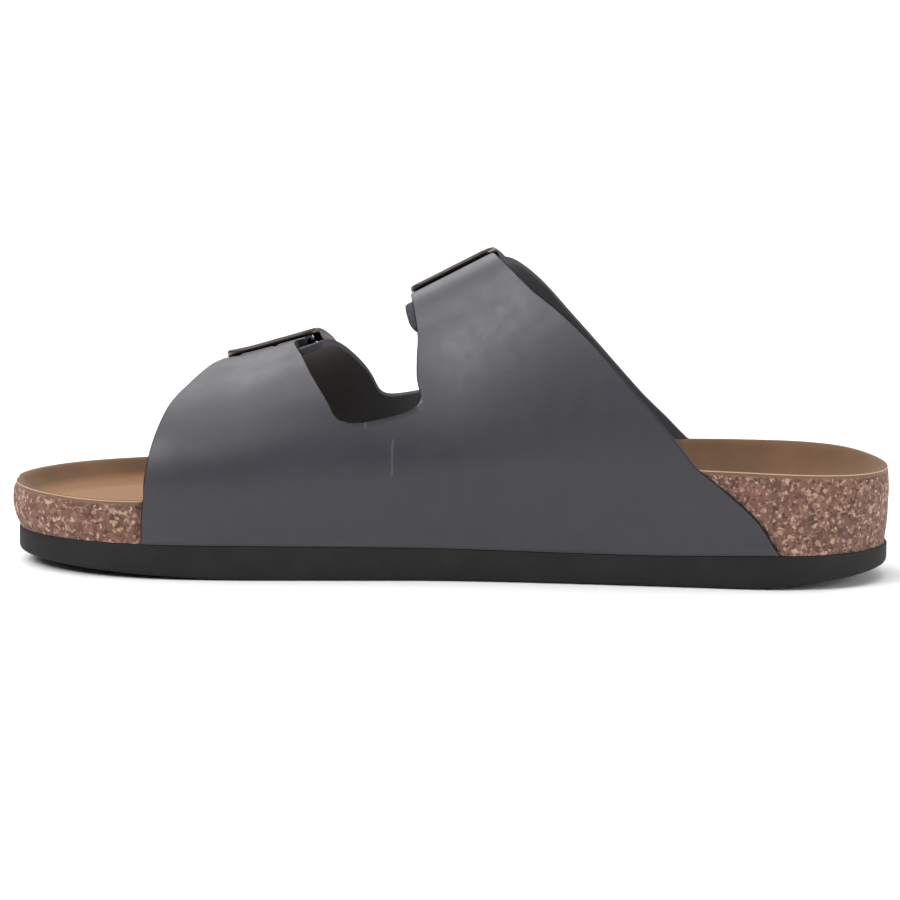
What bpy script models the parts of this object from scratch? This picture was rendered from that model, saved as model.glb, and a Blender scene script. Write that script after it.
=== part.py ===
"""A cork footbed sandal with two buckled straps, for the right foot.

Y runs along the foot with the toe at -Y, +X is the inner side of the foot, and +Z is up.
A station is a distance along the foot from the back of the sole.
The upper's girth is counted from the sole on either side: 0 at the sole, 1 at the rim of the footbed,
2 at the ridge over the instep, and more than 2 on the far side of the ridge.
"""
import bisect
import math
from collections import namedtuple
from functools import lru_cache

import bmesh
import bpy
from mathutils import Vector

# Driving dimensions, in metres.
SOLE_LENGTH = 0.2822
TOE_FLARE = 0.0024
HEEL_FLARE = 0.0011
HEEL_ARC = 0.038
TOE_ARC = 0.059
HEEL_POWER = 2.1
TOE_POWER = 2.05
ACROSS_MIDDLE = 0.0006
MIDDLE_STATION = (SOLE_LENGTH + TOE_FLARE - HEEL_FLARE) / 2
GAP = 0.0003
INNER = 1
OUTER = -1

# The sole, the footbed and the lining, a row for each section across the foot.
# centre and half place the sole's edges, rim and bed are heights of the lining, reach is how far the
# wall runs in from the rim, and top is the height of the outsole's upper face.
Plan = namedtuple("Plan", "station centre half rim_inner rim_outer bed reach top")
PLAN = [
    Plan(0.000, 0.0000, 0.0340, 0.0362, 0.0362, 0.0255, 0.024, 0.0112),
    Plan(0.035, 0.0000, 0.0350, 0.0378, 0.0378, 0.0248, 0.024, 0.0110),
    Plan(0.070, -0.0008, 0.0355, 0.0385, 0.0380, 0.0252, 0.023, 0.0101),
    Plan(0.105, -0.0020, 0.0367, 0.0392, 0.0358, 0.0255, 0.021, 0.0101),
    Plan(0.140, -0.0030, 0.0396, 0.0352, 0.0322, 0.0236, 0.017, 0.0106),
    Plan(0.175, -0.0025, 0.0448, 0.0301, 0.0287, 0.0211, 0.013, 0.0110),
    Plan(0.210, 0.0000, 0.0481, 0.0267, 0.0265, 0.0193, 0.011, 0.0112),
    Plan(0.245, 0.0040, 0.0471, 0.0252, 0.0257, 0.0188, 0.010, 0.0112),
    Plan(0.2822, 0.0095, 0.0443, 0.0262, 0.0262, 0.0192, 0.010, 0.0112),
]
HEEL_STEPS = 8
BODY_STEPS = 27
TOE_STEPS = 10

# The outsole.
TOE_SPRING = 0.0030
TOE_SPRING_FROM = 0.205
TOE_SPRING_POWER = 2
HEEL_BEVEL = 0.0036
HEEL_BEVEL_FROM = 0.024
HEEL_BEVEL_POWER = 1.6
SOLE_TOE_FLARE = 0.0004
SOLE_HEEL_FLARE = 0.0009
Edge = namedtuple("Edge", "inset height")
SOLE_EDGE = [Edge(0.0014, 0.0), Edge(0.0004, 0.0007), Edge(0.0, 0.0020)]
GROOVE_PITCH = 0.0156
GROOVE_FIRST = 0.0155
GROOVE_COUNT = 16
GROOVE_WIDTH = 0.0022
GROOVE_DEPTH = 0.0016
GROOVE_WAVE = 0.0018
GROOVE_WAVE_LENGTH = 0.024
GROOVE_HALF_RUN = 0.060
GROOVE_STEPS = 20
GROOVE_CUTTER_HALF_HEIGHT = 0.004

# The footbed and its lining.
LINING = 0.0012
LINING_DROP = 0.0006
RIM_WIDTH = 0.0030
WALL_STEPS = (0.2, 0.45, 0.75, 1.0)
FLOOR_STEPS = (0.5, 1.0)
PAD_STATION = 0.172
PAD_ACROSS = 0.001
PAD_HEIGHT = 0.0024
PAD_LENGTH = 0.018
PAD_WIDTH = 0.013
TOE_BAR_STATION = 0.227
TOE_BAR_SLANT = 0.12
TOE_BAR_HEIGHT = 0.0020
TOE_BAR_LENGTH = 0.0060
TOE_BAR_WIDTH = 0.028
Side = namedtuple("Side", "height flare")
TOE_FLARE_FROM = 0.232
TOE_FLARE_FADE = 0.040
HEEL_FLARE_FROM = 0.030
HEEL_FLARE_FADE = 0.025
CORK_SIDE = [Side(0.0, 0.0), Side(0.35, 0.8), Side(0.7, 1.0), Side(0.93, 0.85), Side(1.0, 0.6)]

# The leather, and the seat in the cork's side that takes it.
LEATHER = 0.0022
LEATHER_PROUD = 0.0006
SEAT_DEPTH = LEATHER - LEATHER_PROUD + 0.0004
SEAT_REAR = 0.031
SEAT_FRONT = {INNER: 0.238, OUTER: 0.226}
SEAT_FADE = 0.015
RIM_TO_ARCH = 0.0008

# The last over the footbed: each section leans back from the rim to the ridge at crest_station.
Arch = namedtuple("Arch", "station crest_station crest_height crest_across power")
ARCH = [
    Arch(0.030, 0.072, 0.1300, 0.0040, 2.15),
    Arch(0.060, 0.099, 0.1155, 0.0040, 2.15),
    Arch(0.092, 0.128, 0.1003, 0.0045, 2.15),
    Arch(0.125, 0.155, 0.0860, 0.0050, 2.15),
    Arch(0.160, 0.180, 0.0742, 0.0055, 2.20),
    Arch(0.191, 0.202, 0.0668, 0.0055, 2.30),
    Arch(0.205, 0.214, 0.0635, 0.0050, 2.35),
    Arch(0.245, 0.250, 0.0575, 0.0050, 2.40),
]

# The cut edges of each quarter as stations, a row for each girth. The straps lie between rear and
# split_rear and between split_front and front; below the notch the splits only guide the mesh.
Cut = namedtuple("Cut", "girth rear split_rear split_front front")
INNER_CUT = [
    Cut(0.00, 0.0324, 0.1120, 0.1760, 0.2357),
    Cut(0.40, 0.0389, 0.1180, 0.1735, 0.2357),
    Cut(0.70, 0.0482, 0.1240, 0.1710, 0.2355),
    Cut(1.00, 0.0590, 0.1300, 0.1680, 0.2348),
    Cut(1.20, 0.0677, 0.1350, 0.1658, 0.2315),
    Cut(1.36, 0.0737, 0.1350, 0.1660, 0.2280),
    Cut(1.60, 0.0833, 0.1268, 0.1697, 0.2218),
    Cut(1.80, 0.0878, 0.1244, 0.1728, 0.2160),
    Cut(1.96, 0.0905, 0.1242, 0.1765, 0.2108),
    Cut(2.10, 0.0922, 0.1245, 0.1780, 0.2077),
]
OUTER_CUT = [
    Cut(0.00, 0.0400, 0.1120, 0.1740, 0.2225),
    Cut(0.40, 0.0450, 0.1180, 0.1715, 0.2225),
    Cut(0.70, 0.0540, 0.1240, 0.1690, 0.2222),
    Cut(1.00, 0.0698, 0.1300, 0.1660, 0.2212),
    Cut(1.13, 0.0752, 0.1325, 0.1640, 0.2200),
    Cut(1.376, 0.0812, 0.1345, 0.1628, 0.2165),
    Cut(1.60, 0.0842, 0.1275, 0.1636, 0.2120),
    Cut(1.80, 0.0883, 0.1255, 0.1641, 0.2080),
    Cut(2.00, 0.0908, 0.1270, 0.1650, 0.2045),
    Cut(2.30, 0.0925, 0.1280, 0.1660, 0.2020),
]
Notch = namedtuple("Notch", "top depth power")
INNER_NOTCH = Notch(1.36, 0.112, 3.2)
OUTER_NOTCH = Notch(1.376, 0.124, 3.0)
STRAP_COLUMNS = 6
NOTCH_COLUMNS = 8
NOTCH_SPREAD = 3
BODY_ROWS = 6
STRAP_ROWS = 8
SHOULDER_ROWS = 3
PIN_ROWS = 8
TIP_ROWS = 4
RIDGE_ROWS = 4
TONGUE_ROUNDING = 0.0095
TUCK_ROUNDING = 0.0070
TIP_POWER = 2.6
SMALL_GIRTH = 0.002
SMALL_STATION = 0.0002

# The buckles: station of the frame's middle, and distances past the ridge, down the outer side.
Buckle = namedtuple("Buckle", "name station pin_at tip_at tuck_at tongue_shift")
BUCKLES = [
    Buckle("rear", 0.1080, 0.0195, 0.0480, 0.0180, 0.0),
    Buckle("front", 0.1881, 0.0230, 0.0510, 0.0045, 0.0010),
]
TUCK_FADE = 0.018
TUCK_END = -0.001
TONGUE_HALF_WIDTH = 0.0108
SHOULDER_FROM = -0.0135
SHOULDER_LENGTH = 0.0045
RULER_FROM = 1.0
RULER_TO = 3.2
RULER_STEPS = 440
PIN_LIFT = 0.0036
PIN_LIFT_REACH = 0.0110
FRAME_HALF_LENGTH = 0.0158
FRAME_HALF_SPAN = 0.0145
FRAME_SIDE_BAR = 0.0033
FRAME_END_BAR = 0.0040
FRAME_OUTER_RADIUS = 0.0050
FRAME_INNER_RADIUS = 0.0025
FRAME_TOP = 0.0048
FRAME_END_BOTTOM = 0.0028
FRAME_CHEEK_BOTTOM = 0.0006
FRAME_SOFT_EDGE = 0.0005
FRAME_CHEEK_END = 0.0078
FRAME_CHEEK_FADE = 0.0014
FRAME_CORNER_STEPS = 4
FRAME_SIDE_STEPS = 4
PIN_RADIUS = 0.0008
PIN_HEIGHT = 0.0025
PIN_POINTS = 5
PRONG_RADIUS = 0.0009
PRONG_HOLE_RADIUS = 0.0018
PRONG_HOLE_AT = -0.0030
PRONG_HOLE_CUTTER_LENGTH = 0.012
PRONG_HOLE_CUTTER_HEIGHT = 0.004
PRONG_HOLE_POINTS = 12
LOOP_HALF_WIDTH = 0.0085
LOOP_STATIONS = 5
# The prong's path, from beside the pin up through the tongue and over to the frame's near bar.
Step = namedtuple("Step", "down height")
PRONG_PATH = [
    Step(-0.0024, 0.0026), Step(-0.0026, 0.0042), Step(-0.0029, 0.0058), Step(-0.0036, 0.0070),
    Step(-0.0050, 0.0074), Step(-0.0075, 0.0069), Step(-0.0105, 0.0062), Step(-0.0145, 0.0060),
]
# The loop's section: a tab under the pin with its lip turned up beside it.
LOOP_SECTION = [
    Step(-0.0055, 0.0003), Step(0.0022, 0.0003), Step(0.0031, 0.0010), Step(0.0031, 0.0025),
    Step(0.0021, 0.0025), Step(0.0020, 0.0016), Step(0.0014, 0.0012), Step(-0.0055, 0.0012),
]

WELD = 0.00002
SHARP_ANGLE = math.radians(40)

# Materials: colour, roughness and metallic value.
Finish = namedtuple("Finish", "name colour roughness metallic")
RUBBER = Finish("sole_rubber", (0.018, 0.018, 0.019), 0.8, 0.0)
CORK = Finish("cork", (0.27, 0.145, 0.09), 0.9, 0.0)
SUEDE = Finish("suede_lining", (0.34, 0.21, 0.12), 0.95, 0.0)
SMOOTH_LEATHER = Finish("strap_leather", (0.085, 0.088, 0.10), 0.5, 0.0)
BRONZE = Finish("antique_bronze", (0.10, 0.065, 0.05), 0.35, 1.0)


def read(table, column, at):
    """The table's column at a place between its rows, on a smooth curve through them."""
    places = [row[0] for row in table]
    values = [getattr(row, column) for row in table]
    last = len(table) - 1
    if at <= places[0]:
        return values[0]
    if at >= places[last]:
        return values[last]
    i = max(k for k in range(last) if places[k] < at)

    def slope(k):
        low = max(k - 1, 0)
        high = min(k + 1, last)
        return (values[high] - values[low]) / (places[high] - places[low])

    width = places[i + 1] - places[i]
    u = (at - places[i]) / width
    from_low = (2 * u - 3) * u * u + 1
    from_low_slope = ((u - 2) * u + 1) * u * width
    from_high_slope = (u - 1) * u * u * width
    ends = from_low * values[i] + (1 - from_low) * values[i + 1]
    return ends + from_low_slope * slope(i) + from_high_slope * slope(i + 1)


def smooth(share):
    """0 below 0, 1 above 1, and a smooth rise between."""
    share = min(max(share, 0.0), 1.0)
    return share * share * (3 - 2 * share)


def mix(low, high, share):
    return low + (high - low) * share


def place(station, across, height):
    return Vector((across - ACROSS_MIDDLE, MIDDLE_STATION - station, height))


def end_roundness(station):
    """How much of the half width is left at a station: all of it, but for the round heel and toe."""
    if station < HEEL_ARC:
        share = (HEEL_ARC - station) / HEEL_ARC
        return max(0.0, 1 - share ** HEEL_POWER) ** (1 / HEEL_POWER)
    share = max(0.0, (station - SOLE_LENGTH) / TOE_ARC + 1)
    return max(0.0, 1 - share ** TOE_POWER) ** (1 / TOE_POWER)


def edge(station, side):
    """Where the sole's edge lies across the foot."""
    half = read(PLAN, "half", station) * end_roundness(station)
    return read(PLAN, "centre", station) + side * half


def edge_stations():
    """Stations from heel to toe, close together on the round ends."""
    turn = math.pi / 2
    heel = [HEEL_ARC * (1 - math.cos(turn * i / HEEL_STEPS) ** (2 / HEEL_POWER)) for i in range(HEEL_STEPS)]
    body_length = SOLE_LENGTH - TOE_ARC - HEEL_ARC
    body = [HEEL_ARC + body_length * i / BODY_STEPS for i in range(BODY_STEPS)]
    toe_start = SOLE_LENGTH - TOE_ARC
    toe = [toe_start + TOE_ARC * math.sin(turn * i / TOE_STEPS) ** (2 / TOE_POWER) for i in range(TOE_STEPS)]
    return heel + body + toe + [SOLE_LENGTH]


def outline():
    """Station and side of each point round the sole: up the inner side to the toe, and back."""
    stations = edge_stations()
    inner = [(station, INNER) for station in stations]
    outer = [(station, OUTER) for station in stations[-2:0:-1]]
    return inner + outer


def inward(station, side, distance):
    """The point a distance in from the sole's edge, straight towards the bed's spine."""
    start = Vector((station, edge(station, side)))
    spine_station = min(max(station, HEEL_ARC), SOLE_LENGTH - TOE_ARC)
    run = Vector((spine_station, read(PLAN, "centre", spine_station))) - start
    return start + run.normalized() * min(distance, run.length)


def spine_distance(station, side):
    spine_station = min(max(station, HEEL_ARC), SOLE_LENGTH - TOE_ARC)
    spine = Vector((spine_station, read(PLAN, "centre", spine_station)))
    return (spine - Vector((station, edge(station, side)))).length


def sole_lift(station):
    """Height of the outsole's underside: the toe springs up and the heel is bevelled."""
    toe = max(0.0, (station - TOE_SPRING_FROM) / (SOLE_LENGTH - TOE_SPRING_FROM))
    heel = max(0.0, (HEEL_BEVEL_FROM - station) / HEEL_BEVEL_FROM)
    return TOE_SPRING * toe ** TOE_SPRING_POWER + HEEL_BEVEL * heel ** HEEL_BEVEL_POWER


def sole_top(station):
    return read(PLAN, "top", station)


def rim_height(station, side):
    return read(PLAN, "rim_inner" if side == INNER else "rim_outer", station)


def seat(station, side):
    """How far the cork's side is set back under the leather."""
    rear = smooth((station - SEAT_REAR) / SEAT_FADE + 1)
    front = smooth((SEAT_FRONT[side] - station) / SEAT_FADE + 1)
    return SEAT_DEPTH * rear * front


def end_flare(station, toe, heel):
    """How far the heel and the toe stand out past the sole's plain outline."""
    at_toe = smooth((station - TOE_FLARE_FROM) / TOE_FLARE_FADE)
    at_heel = smooth((HEEL_FLARE_FROM - station) / HEEL_FLARE_FADE)
    return toe * at_toe + heel * at_heel


def cork_inset(station, side, share):
    """How far in from the sole's edge the cork's side is, at a share of its height."""
    flare = end_flare(station, TOE_FLARE, HEEL_FLARE) * read(CORK_SIDE, "flare", share)
    return seat(station, side) - flare


def relief(station, across):
    """The raised pad behind the ball of the foot, and the bar under the toes."""
    pad = PAD_HEIGHT * math.exp(-((station - PAD_STATION) / PAD_LENGTH) ** 2
                                - ((across - PAD_ACROSS) / PAD_WIDTH) ** 2)
    bar_station = TOE_BAR_STATION + TOE_BAR_SLANT * across
    bar = TOE_BAR_HEIGHT * math.exp(-((station - bar_station) / TOE_BAR_LENGTH) ** 2
                                    - (across / TOE_BAR_WIDTH) ** 4)
    return pad + bar


def bed_point(station, side, distance, drop):
    """A point a distance in from the lining's rim, a drop below the lining's top."""
    spot = inward(station, side, cork_inset(station, side, 1.0) + distance)
    floor = read(PLAN, "bed", spot.x) + relief(spot.x, spot.y)
    fall = min(max((distance - RIM_WIDTH) / read(PLAN, "reach", station), 0.0), 1.0)
    height = floor + (rim_height(station, side) - floor) * (1 - fall) ** 2
    return place(spot.x, spot.y, height - drop)


def bed_rings(drop):
    """Rings of the bed's surface from the rim in to the spine."""
    rings = []
    rings.append([bed_point(station, side, 0.0, drop) for station, side in outline()])
    rings.append([bed_point(station, side, RIM_WIDTH, drop) for station, side in outline()])
    for share in WALL_STEPS:
        rings.append([bed_point(station, side, RIM_WIDTH + share * read(PLAN, "reach", station), drop)
                      for station, side in outline()])
    for share in FLOOR_STEPS:
        ring = []
        for station, side in outline():
            wall_foot = RIM_WIDTH + read(PLAN, "reach", station)
            spine = spine_distance(station, side) - cork_inset(station, side, 1.0)
            ring.append(bed_point(station, side, mix(wall_foot, spine, share), drop))
        rings.append(ring)
    return rings


def cork_ring(share):
    ring = []
    for station, side in outline():
        spot = inward(station, side, cork_inset(station, side, share))
        low = sole_top(station) + GAP
        high = rim_height(station, side) - LINING - LINING_DROP
        ring.append(place(spot.x, spot.y, mix(low, high, share)))
    return ring


def sole_ring(inset, rise, surface):
    """The sole's outline, set in by an inset and a rise above one of the sole's surfaces."""
    ring = []
    for station, side in outline():
        spot = inward(station, side, inset - end_flare(station, SOLE_TOE_FLARE, SOLE_HEEL_FLARE))
        ring.append(place(spot.x, spot.y, surface(station) + rise))
    return ring


def add_rings(mesh, rings):
    """Faces between rings that all have the same number of points; gives the rings' corners."""
    corners = [[mesh.verts.new(point) for point in ring] for ring in rings]
    count = len(rings[0])
    for low, high in zip(corners, corners[1:]):
        for i in range(count):
            after = (i + 1) % count
            mesh.faces.new((low[i], low[after], high[after], high[i]))
    return corners


def add_rungs(mesh, ring):
    """Closes a ring with faces that run straight across the foot, like a ladder's rungs."""
    count = len(ring)
    for i in range(count // 2):
        corners = [ring[i], ring[i + 1], ring[(count - i - 1) % count], ring[(count - i) % count]]
        unlike = [corner for n, corner in enumerate(corners) if corner not in corners[:n]]
        mesh.faces.new(unlike)


def finish_mesh(name, mesh, finish, collection):
    """Welds the faces, turns them outwards and makes the object."""
    bmesh.ops.remove_doubles(mesh, verts=mesh.verts, dist=WELD)
    bmesh.ops.recalc_face_normals(mesh, faces=mesh.faces)
    data = bpy.data.meshes.new(name)
    mesh.to_mesh(data)
    mesh.free()
    data.shade_smooth()
    data.set_sharp_from_angle(angle=SHARP_ANGLE)
    made = bpy.data.objects.new(name, data)
    made.data.materials.append(material(finish))
    collection.objects.link(made)
    return made


def material(finish):
    made = bpy.data.materials.get(finish.name)
    if made:
        return made
    made = bpy.data.materials.new(finish.name)
    made.use_nodes = True
    shader = made.node_tree.nodes["Principled BSDF"]
    shader.inputs["Base Color"].default_value = (*finish.colour, 1.0)
    shader.inputs["Roughness"].default_value = finish.roughness
    shader.inputs["Metallic"].default_value = finish.metallic
    return made


def to_mesh(curve_object):
    """A mesh object in the curve's place, with its caps welded on."""
    view = bpy.context.evaluated_depsgraph_get()
    data = bpy.data.meshes.new_from_object(curve_object.evaluated_get(view))
    mesh = bmesh.new()
    mesh.from_mesh(data)
    bmesh.ops.remove_doubles(mesh, verts=mesh.verts, dist=WELD)
    bmesh.ops.recalc_face_normals(mesh, faces=mesh.faces)
    mesh.to_mesh(data)
    mesh.free()
    made = bpy.data.objects.new(curve_object.name + "_mesh", data)
    made.matrix_world = curve_object.matrix_world.copy()
    for collection in curve_object.users_collection:
        collection.objects.link(made)
    bpy.data.objects.remove(curve_object)
    return made


def hide_cutter(cutter):
    cutter.hide_render = True
    cutter.display_type = "WIRE"


def poly_curve(name, points, collection, closed=False):
    curve = bpy.data.curves.new(name, "CURVE")
    line = curve.splines.new("POLY")
    line.points.add(len(points) - 1)
    for spot, point in zip(line.points, points):
        spot.co = (*point, 1.0)
    line.use_cyclic_u = closed
    made = bpy.data.objects.new(name, curve)
    collection.objects.link(made)
    return made


def wavy_groove(number, cutters):
    """A slot across the sole that waves along the foot and is open at both sides."""
    station = GROOVE_FIRST + number * GROOVE_PITCH
    front = []
    rear = []
    for i in range(GROOVE_STEPS + 1):
        across = mix(-GROOVE_HALF_RUN, GROOVE_HALF_RUN, i / GROOVE_STEPS)
        wave = GROOVE_WAVE * math.sin(math.tau * across / GROOVE_WAVE_LENGTH)
        front.append(place(station + wave + GROOVE_WIDTH / 2, across, 0.0))
        rear.append(place(station + wave - GROOVE_WIDTH / 2, across, 0.0))
    slot = poly_curve(f"groove_cutter_{number}", front + rear[::-1], cutters, closed=True)
    slot.data.dimensions = "2D"
    slot.data.fill_mode = "BOTH"
    slot.data.extrude = GROOVE_CUTTER_HALF_HEIGHT
    slot.location.z = sole_lift(station) + GROOVE_DEPTH - GROOVE_CUTTER_HALF_HEIGHT
    bpy.context.view_layer.update()
    return to_mesh(slot)


def outsole(parts, cutters):
    mesh = bmesh.new()
    rings = [sole_ring(step.inset, step.height, sole_lift) for step in SOLE_EDGE]
    rings.append(sole_ring(0.0, 0.0, sole_top))
    corners = add_rings(mesh, rings)
    add_rungs(mesh, corners[0])
    add_rungs(mesh, corners[-1])
    made = finish_mesh("outsole", mesh, RUBBER, parts)
    for number in range(GROOVE_COUNT):
        hide_cutter(wavy_groove(number, cutters))
    cut = made.modifiers.new("grooves", "BOOLEAN")
    cut.operation = "DIFFERENCE"
    cut.operand_type = "COLLECTION"
    cut.collection = cutters
    cut.solver = "EXACT"
    return made


def footbed(parts):
    mesh = bmesh.new()
    sides = [cork_ring(side.height) for side in CORK_SIDE]
    top = bed_rings(LINING + LINING_DROP)
    corners = add_rings(mesh, sides + top[1:])
    add_rungs(mesh, corners[0])
    return finish_mesh("footbed", mesh, CORK, parts)


def insole_lining(parts):
    mesh = bmesh.new()
    underside = bed_rings(LINING)
    add_rings(mesh, underside[::-1] + bed_rings(0.0))
    return finish_mesh("insole_lining", mesh, SUEDE, parts)


def arch_point(side, station, girth):
    """A point of the upper's outer face: up from the sole, over the ridge and down the far side."""
    if girth > 2:
        side = -side
        girth = 4 - girth
    rim = rim_height(station, side) + RIM_TO_ARCH
    if girth <= 1:
        low = sole_top(station) + GAP
        return place(station, edge(station, side) + side * LEATHER_PROUD, mix(low, rim, girth))
    angle = (girth - 1) * math.pi / 2
    power = 2 / read(ARCH, "power", station)
    rise = math.sin(angle) ** power
    reach = max(math.cos(angle), 0.0) ** power
    leaning = mix(station, read(ARCH, "crest_station", station), rise)
    height = mix(rim, read(ARCH, "crest_height", station), rise)
    crest = read(ARCH, "crest_across", station)
    side_edge = edge(leaning, side) + side * LEATHER_PROUD
    return place(leaning, mix(crest, side_edge, reach), height)


def arch_offset(side, station, girth, height):
    """A point a height above the upper's outer face, or below it where the height is negative."""
    above = arch_point(side, station, girth + SMALL_GIRTH)
    below = arch_point(side, station, girth - SMALL_GIRTH)
    ahead = arch_point(side, station + SMALL_STATION, girth)
    behind = arch_point(side, station - SMALL_STATION, girth)
    outward = (above - below).cross(ahead - behind).normalized() * side
    return arch_point(side, station, girth) + outward * height


@lru_cache
def ridge_ruler(buckle):
    """Girths and their distances past the ridge, down the outer side, at a buckle's station."""
    girths = [mix(RULER_FROM, RULER_TO, i / RULER_STEPS) for i in range(RULER_STEPS + 1)]
    points = [arch_point(INNER, buckle.station, girth) for girth in girths]
    lengths = [0.0]
    for here, there in zip(points, points[1:]):
        lengths.append(lengths[-1] + (there - here).length)
    at_ridge = lengths[round(RULER_STEPS * (2 - RULER_FROM) / (RULER_TO - RULER_FROM))]
    return girths, [length - at_ridge for length in lengths]


def between(places, values, place_wanted):
    """The value at a place on a fine ruler."""
    i = min(max(bisect.bisect_right(places, place_wanted), 1), len(places) - 1)
    share = (place_wanted - places[i - 1]) / (places[i] - places[i - 1])
    return mix(values[i - 1], values[i], share)


def girth_at(buckle, distance):
    girths, distances = ridge_ruler(buckle)
    return between(distances, girths, distance)


def distance_at(buckle, girth):
    girths, distances = ridge_ruler(buckle)
    return between(girths, distances, girth)


@lru_cache
def station_pace(buckle):
    """Metres along the leather to one metre of station, under a buckle's pin."""
    girth = girth_at(buckle, buckle.pin_at)
    ahead = arch_point(INNER, buckle.station + SMALL_STATION, girth)
    behind = arch_point(INNER, buckle.station - SMALL_STATION, girth)
    return (ahead - behind).length / (2 * SMALL_STATION)


def on_strap(buckle, along, down, height):
    """A point over the outer quarter, along and down from the middle of a buckle's pin."""
    station = buckle.station + along / station_pace(buckle)
    return arch_offset(INNER, station, girth_at(buckle, buckle.pin_at + down), height)


def tucked(distance):
    """0 where the outer strap lies under the inner one, 1 past the ridge where it lies on the last."""
    return smooth((distance - TUCK_END) / TUCK_FADE + 1)


def inner_height(buckle, girth):
    """Height of the inner quarter's outer face: it climbs on to the outer quarter and over the pin."""
    distance = distance_at(buckle, girth)
    from_pin = min(abs(distance - buckle.pin_at) / PIN_LIFT_REACH, 1.0)
    return (LEATHER + GAP) * tucked(distance) + PIN_LIFT * math.cos(from_pin * math.pi / 2) ** 2


def outer_height(buckle, girth):
    """Height of the outer quarter's outer face: its ends dip under the inner straps."""
    return (LEATHER + GAP) * (tucked(distance_at(buckle, 4 - girth)) - 1)


def inner_stops(buckle, notch, roundness):
    """Girths of an inner strap's rows, from the notch past the pin to the tongue's round tip."""
    shoulder = buckle.pin_at + SHOULDER_FROM
    marks = [notch.top, girth_at(buckle, shoulder), girth_at(buckle, shoulder + SHOULDER_LENGTH),
             girth_at(buckle, buckle.pin_at + PIN_LIFT_REACH),
             girth_at(buckle, buckle.tip_at - TONGUE_ROUNDING * roundness)]
    return stops(marks, (STRAP_ROWS, SHOULDER_ROWS, PIN_ROWS, TIP_ROWS))


def outer_stops(buckle, notch, roundness):
    """Girths of an outer strap's rows, from the notch to its round end under the inner strap."""
    marks = [notch.top, 4 - girth_at(buckle, FRAME_HALF_SPAN),
             4 - girth_at(buckle, TUCK_ROUNDING * roundness - buckle.tuck_at)]
    return stops(marks, (STRAP_ROWS, RIDGE_ROWS))


def stops(marks, counts):
    """Even steps between marks, with a count of steps for each stretch."""
    girths = [marks[0]]
    for low, high, count in zip(marks, marks[1:], counts):
        girths += [mix(low, high, i / count) for i in range(1, count + 1)]
    return girths


def notch_spot(notch, share):
    """The notch's outline: share across it and girth, for an even step round its U shape."""
    turn = math.pi * share
    reach = abs(math.cos(turn)) ** (2 / notch.power)
    across = 0.5 - 0.5 * math.copysign(reach, math.cos(turn))
    return across, notch.top - notch.depth * math.sin(turn) ** (2 / notch.power)


def quarter_columns():
    """Strap, and share of the way across it, for each column from the rear edge to the front."""
    rear = [("rear", i / STRAP_COLUMNS) for i in range(STRAP_COLUMNS + 1)]
    notch = [("notch", i / NOTCH_COLUMNS) for i in range(1, NOTCH_COLUMNS)]
    front = [("front", i / STRAP_COLUMNS) for i in range(STRAP_COLUMNS + 1)]
    return rear + notch + front


def strap_station(strap, share, girth, side, cut):
    """Station at a share of the way across a strap; an inner strap narrows to its tongue."""
    low, high = ("rear", "split_rear") if strap == "rear" else ("split_front", "front")
    wide = mix(read(cut, low, girth), read(cut, high, girth), share)
    if side == OUTER:
        return wide
    buckle = BUCKLES[0] if strap == "rear" else BUCKLES[1]
    across = buckle.tongue_shift + mix(-TONGUE_HALF_WIDTH, TONGUE_HALF_WIDTH, share)
    narrow = buckle.station + across / station_pace(buckle)
    from_pin = distance_at(buckle, girth) - buckle.pin_at
    return mix(wide, narrow, smooth((from_pin - SHOULDER_FROM) / SHOULDER_LENGTH))


def quarter_column(column, side, cut, notch):
    """Station, girth and height of a quarter's mesh corners, up one column from the sole."""
    strap, share = column
    if strap == "notch":
        at_notch, top = notch_spot(notch, share)
        spots = []
        for row in range(BODY_ROWS + 1):
            girth = top * row / BODY_ROWS
            across = mix(share, at_notch, (row / BODY_ROWS) ** NOTCH_SPREAD)
            station = mix(read(cut, "split_rear", girth), read(cut, "split_front", girth), across)
            spots.append((station, girth, 0.0))
        return spots
    buckle = BUCKLES[0] if strap == "rear" else BUCKLES[1]
    roundness = 1 - math.sqrt(max(0.0, 1 - abs(2 * share - 1) ** TIP_POWER))
    height = inner_height if side == INNER else outer_height
    rows = inner_stops if side == INNER else outer_stops
    girths = [notch.top * row / BODY_ROWS for row in range(BODY_ROWS)] + rows(buckle, notch, roundness)
    return [(strap_station(strap, share, girth, side, cut), girth, height(buckle, girth)) for girth in girths]


def quarter(name, side, cut, notch, parts):
    """One side of the upper: its body and two straps, as outer and inner faces and the cut edge."""
    mesh = bmesh.new()
    faces = {}
    columns = quarter_columns()
    for n, column in enumerate(columns):
        for row, (station, girth, height) in enumerate(quarter_column(column, side, cut, notch)):
            face = mesh.verts.new(arch_offset(side, station, girth, height))
            lining = mesh.verts.new(arch_offset(side, station, girth, height - LEATHER))
            faces[n, row] = (face, lining)
    for n, row in list(faces):
        corners = [(n, row), (n + 1, row), (n + 1, row + 1), (n, row + 1)]
        if all(corner in faces for corner in corners):
            mesh.faces.new([faces[corner][0] for corner in corners])
            mesh.faces.new([faces[corner][1] for corner in corners[::-1]])
    lining_of = {face: lining for face, lining in faces.values()}
    rims = [piece for piece in mesh.edges if piece.is_boundary and piece.verts[0] in lining_of]
    for rim in rims:
        a, b = rim.verts
        mesh.faces.new((a, b, lining_of[b], lining_of[a]))
    return finish_mesh(name, mesh, SMOOTH_LEATHER, parts)


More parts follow.
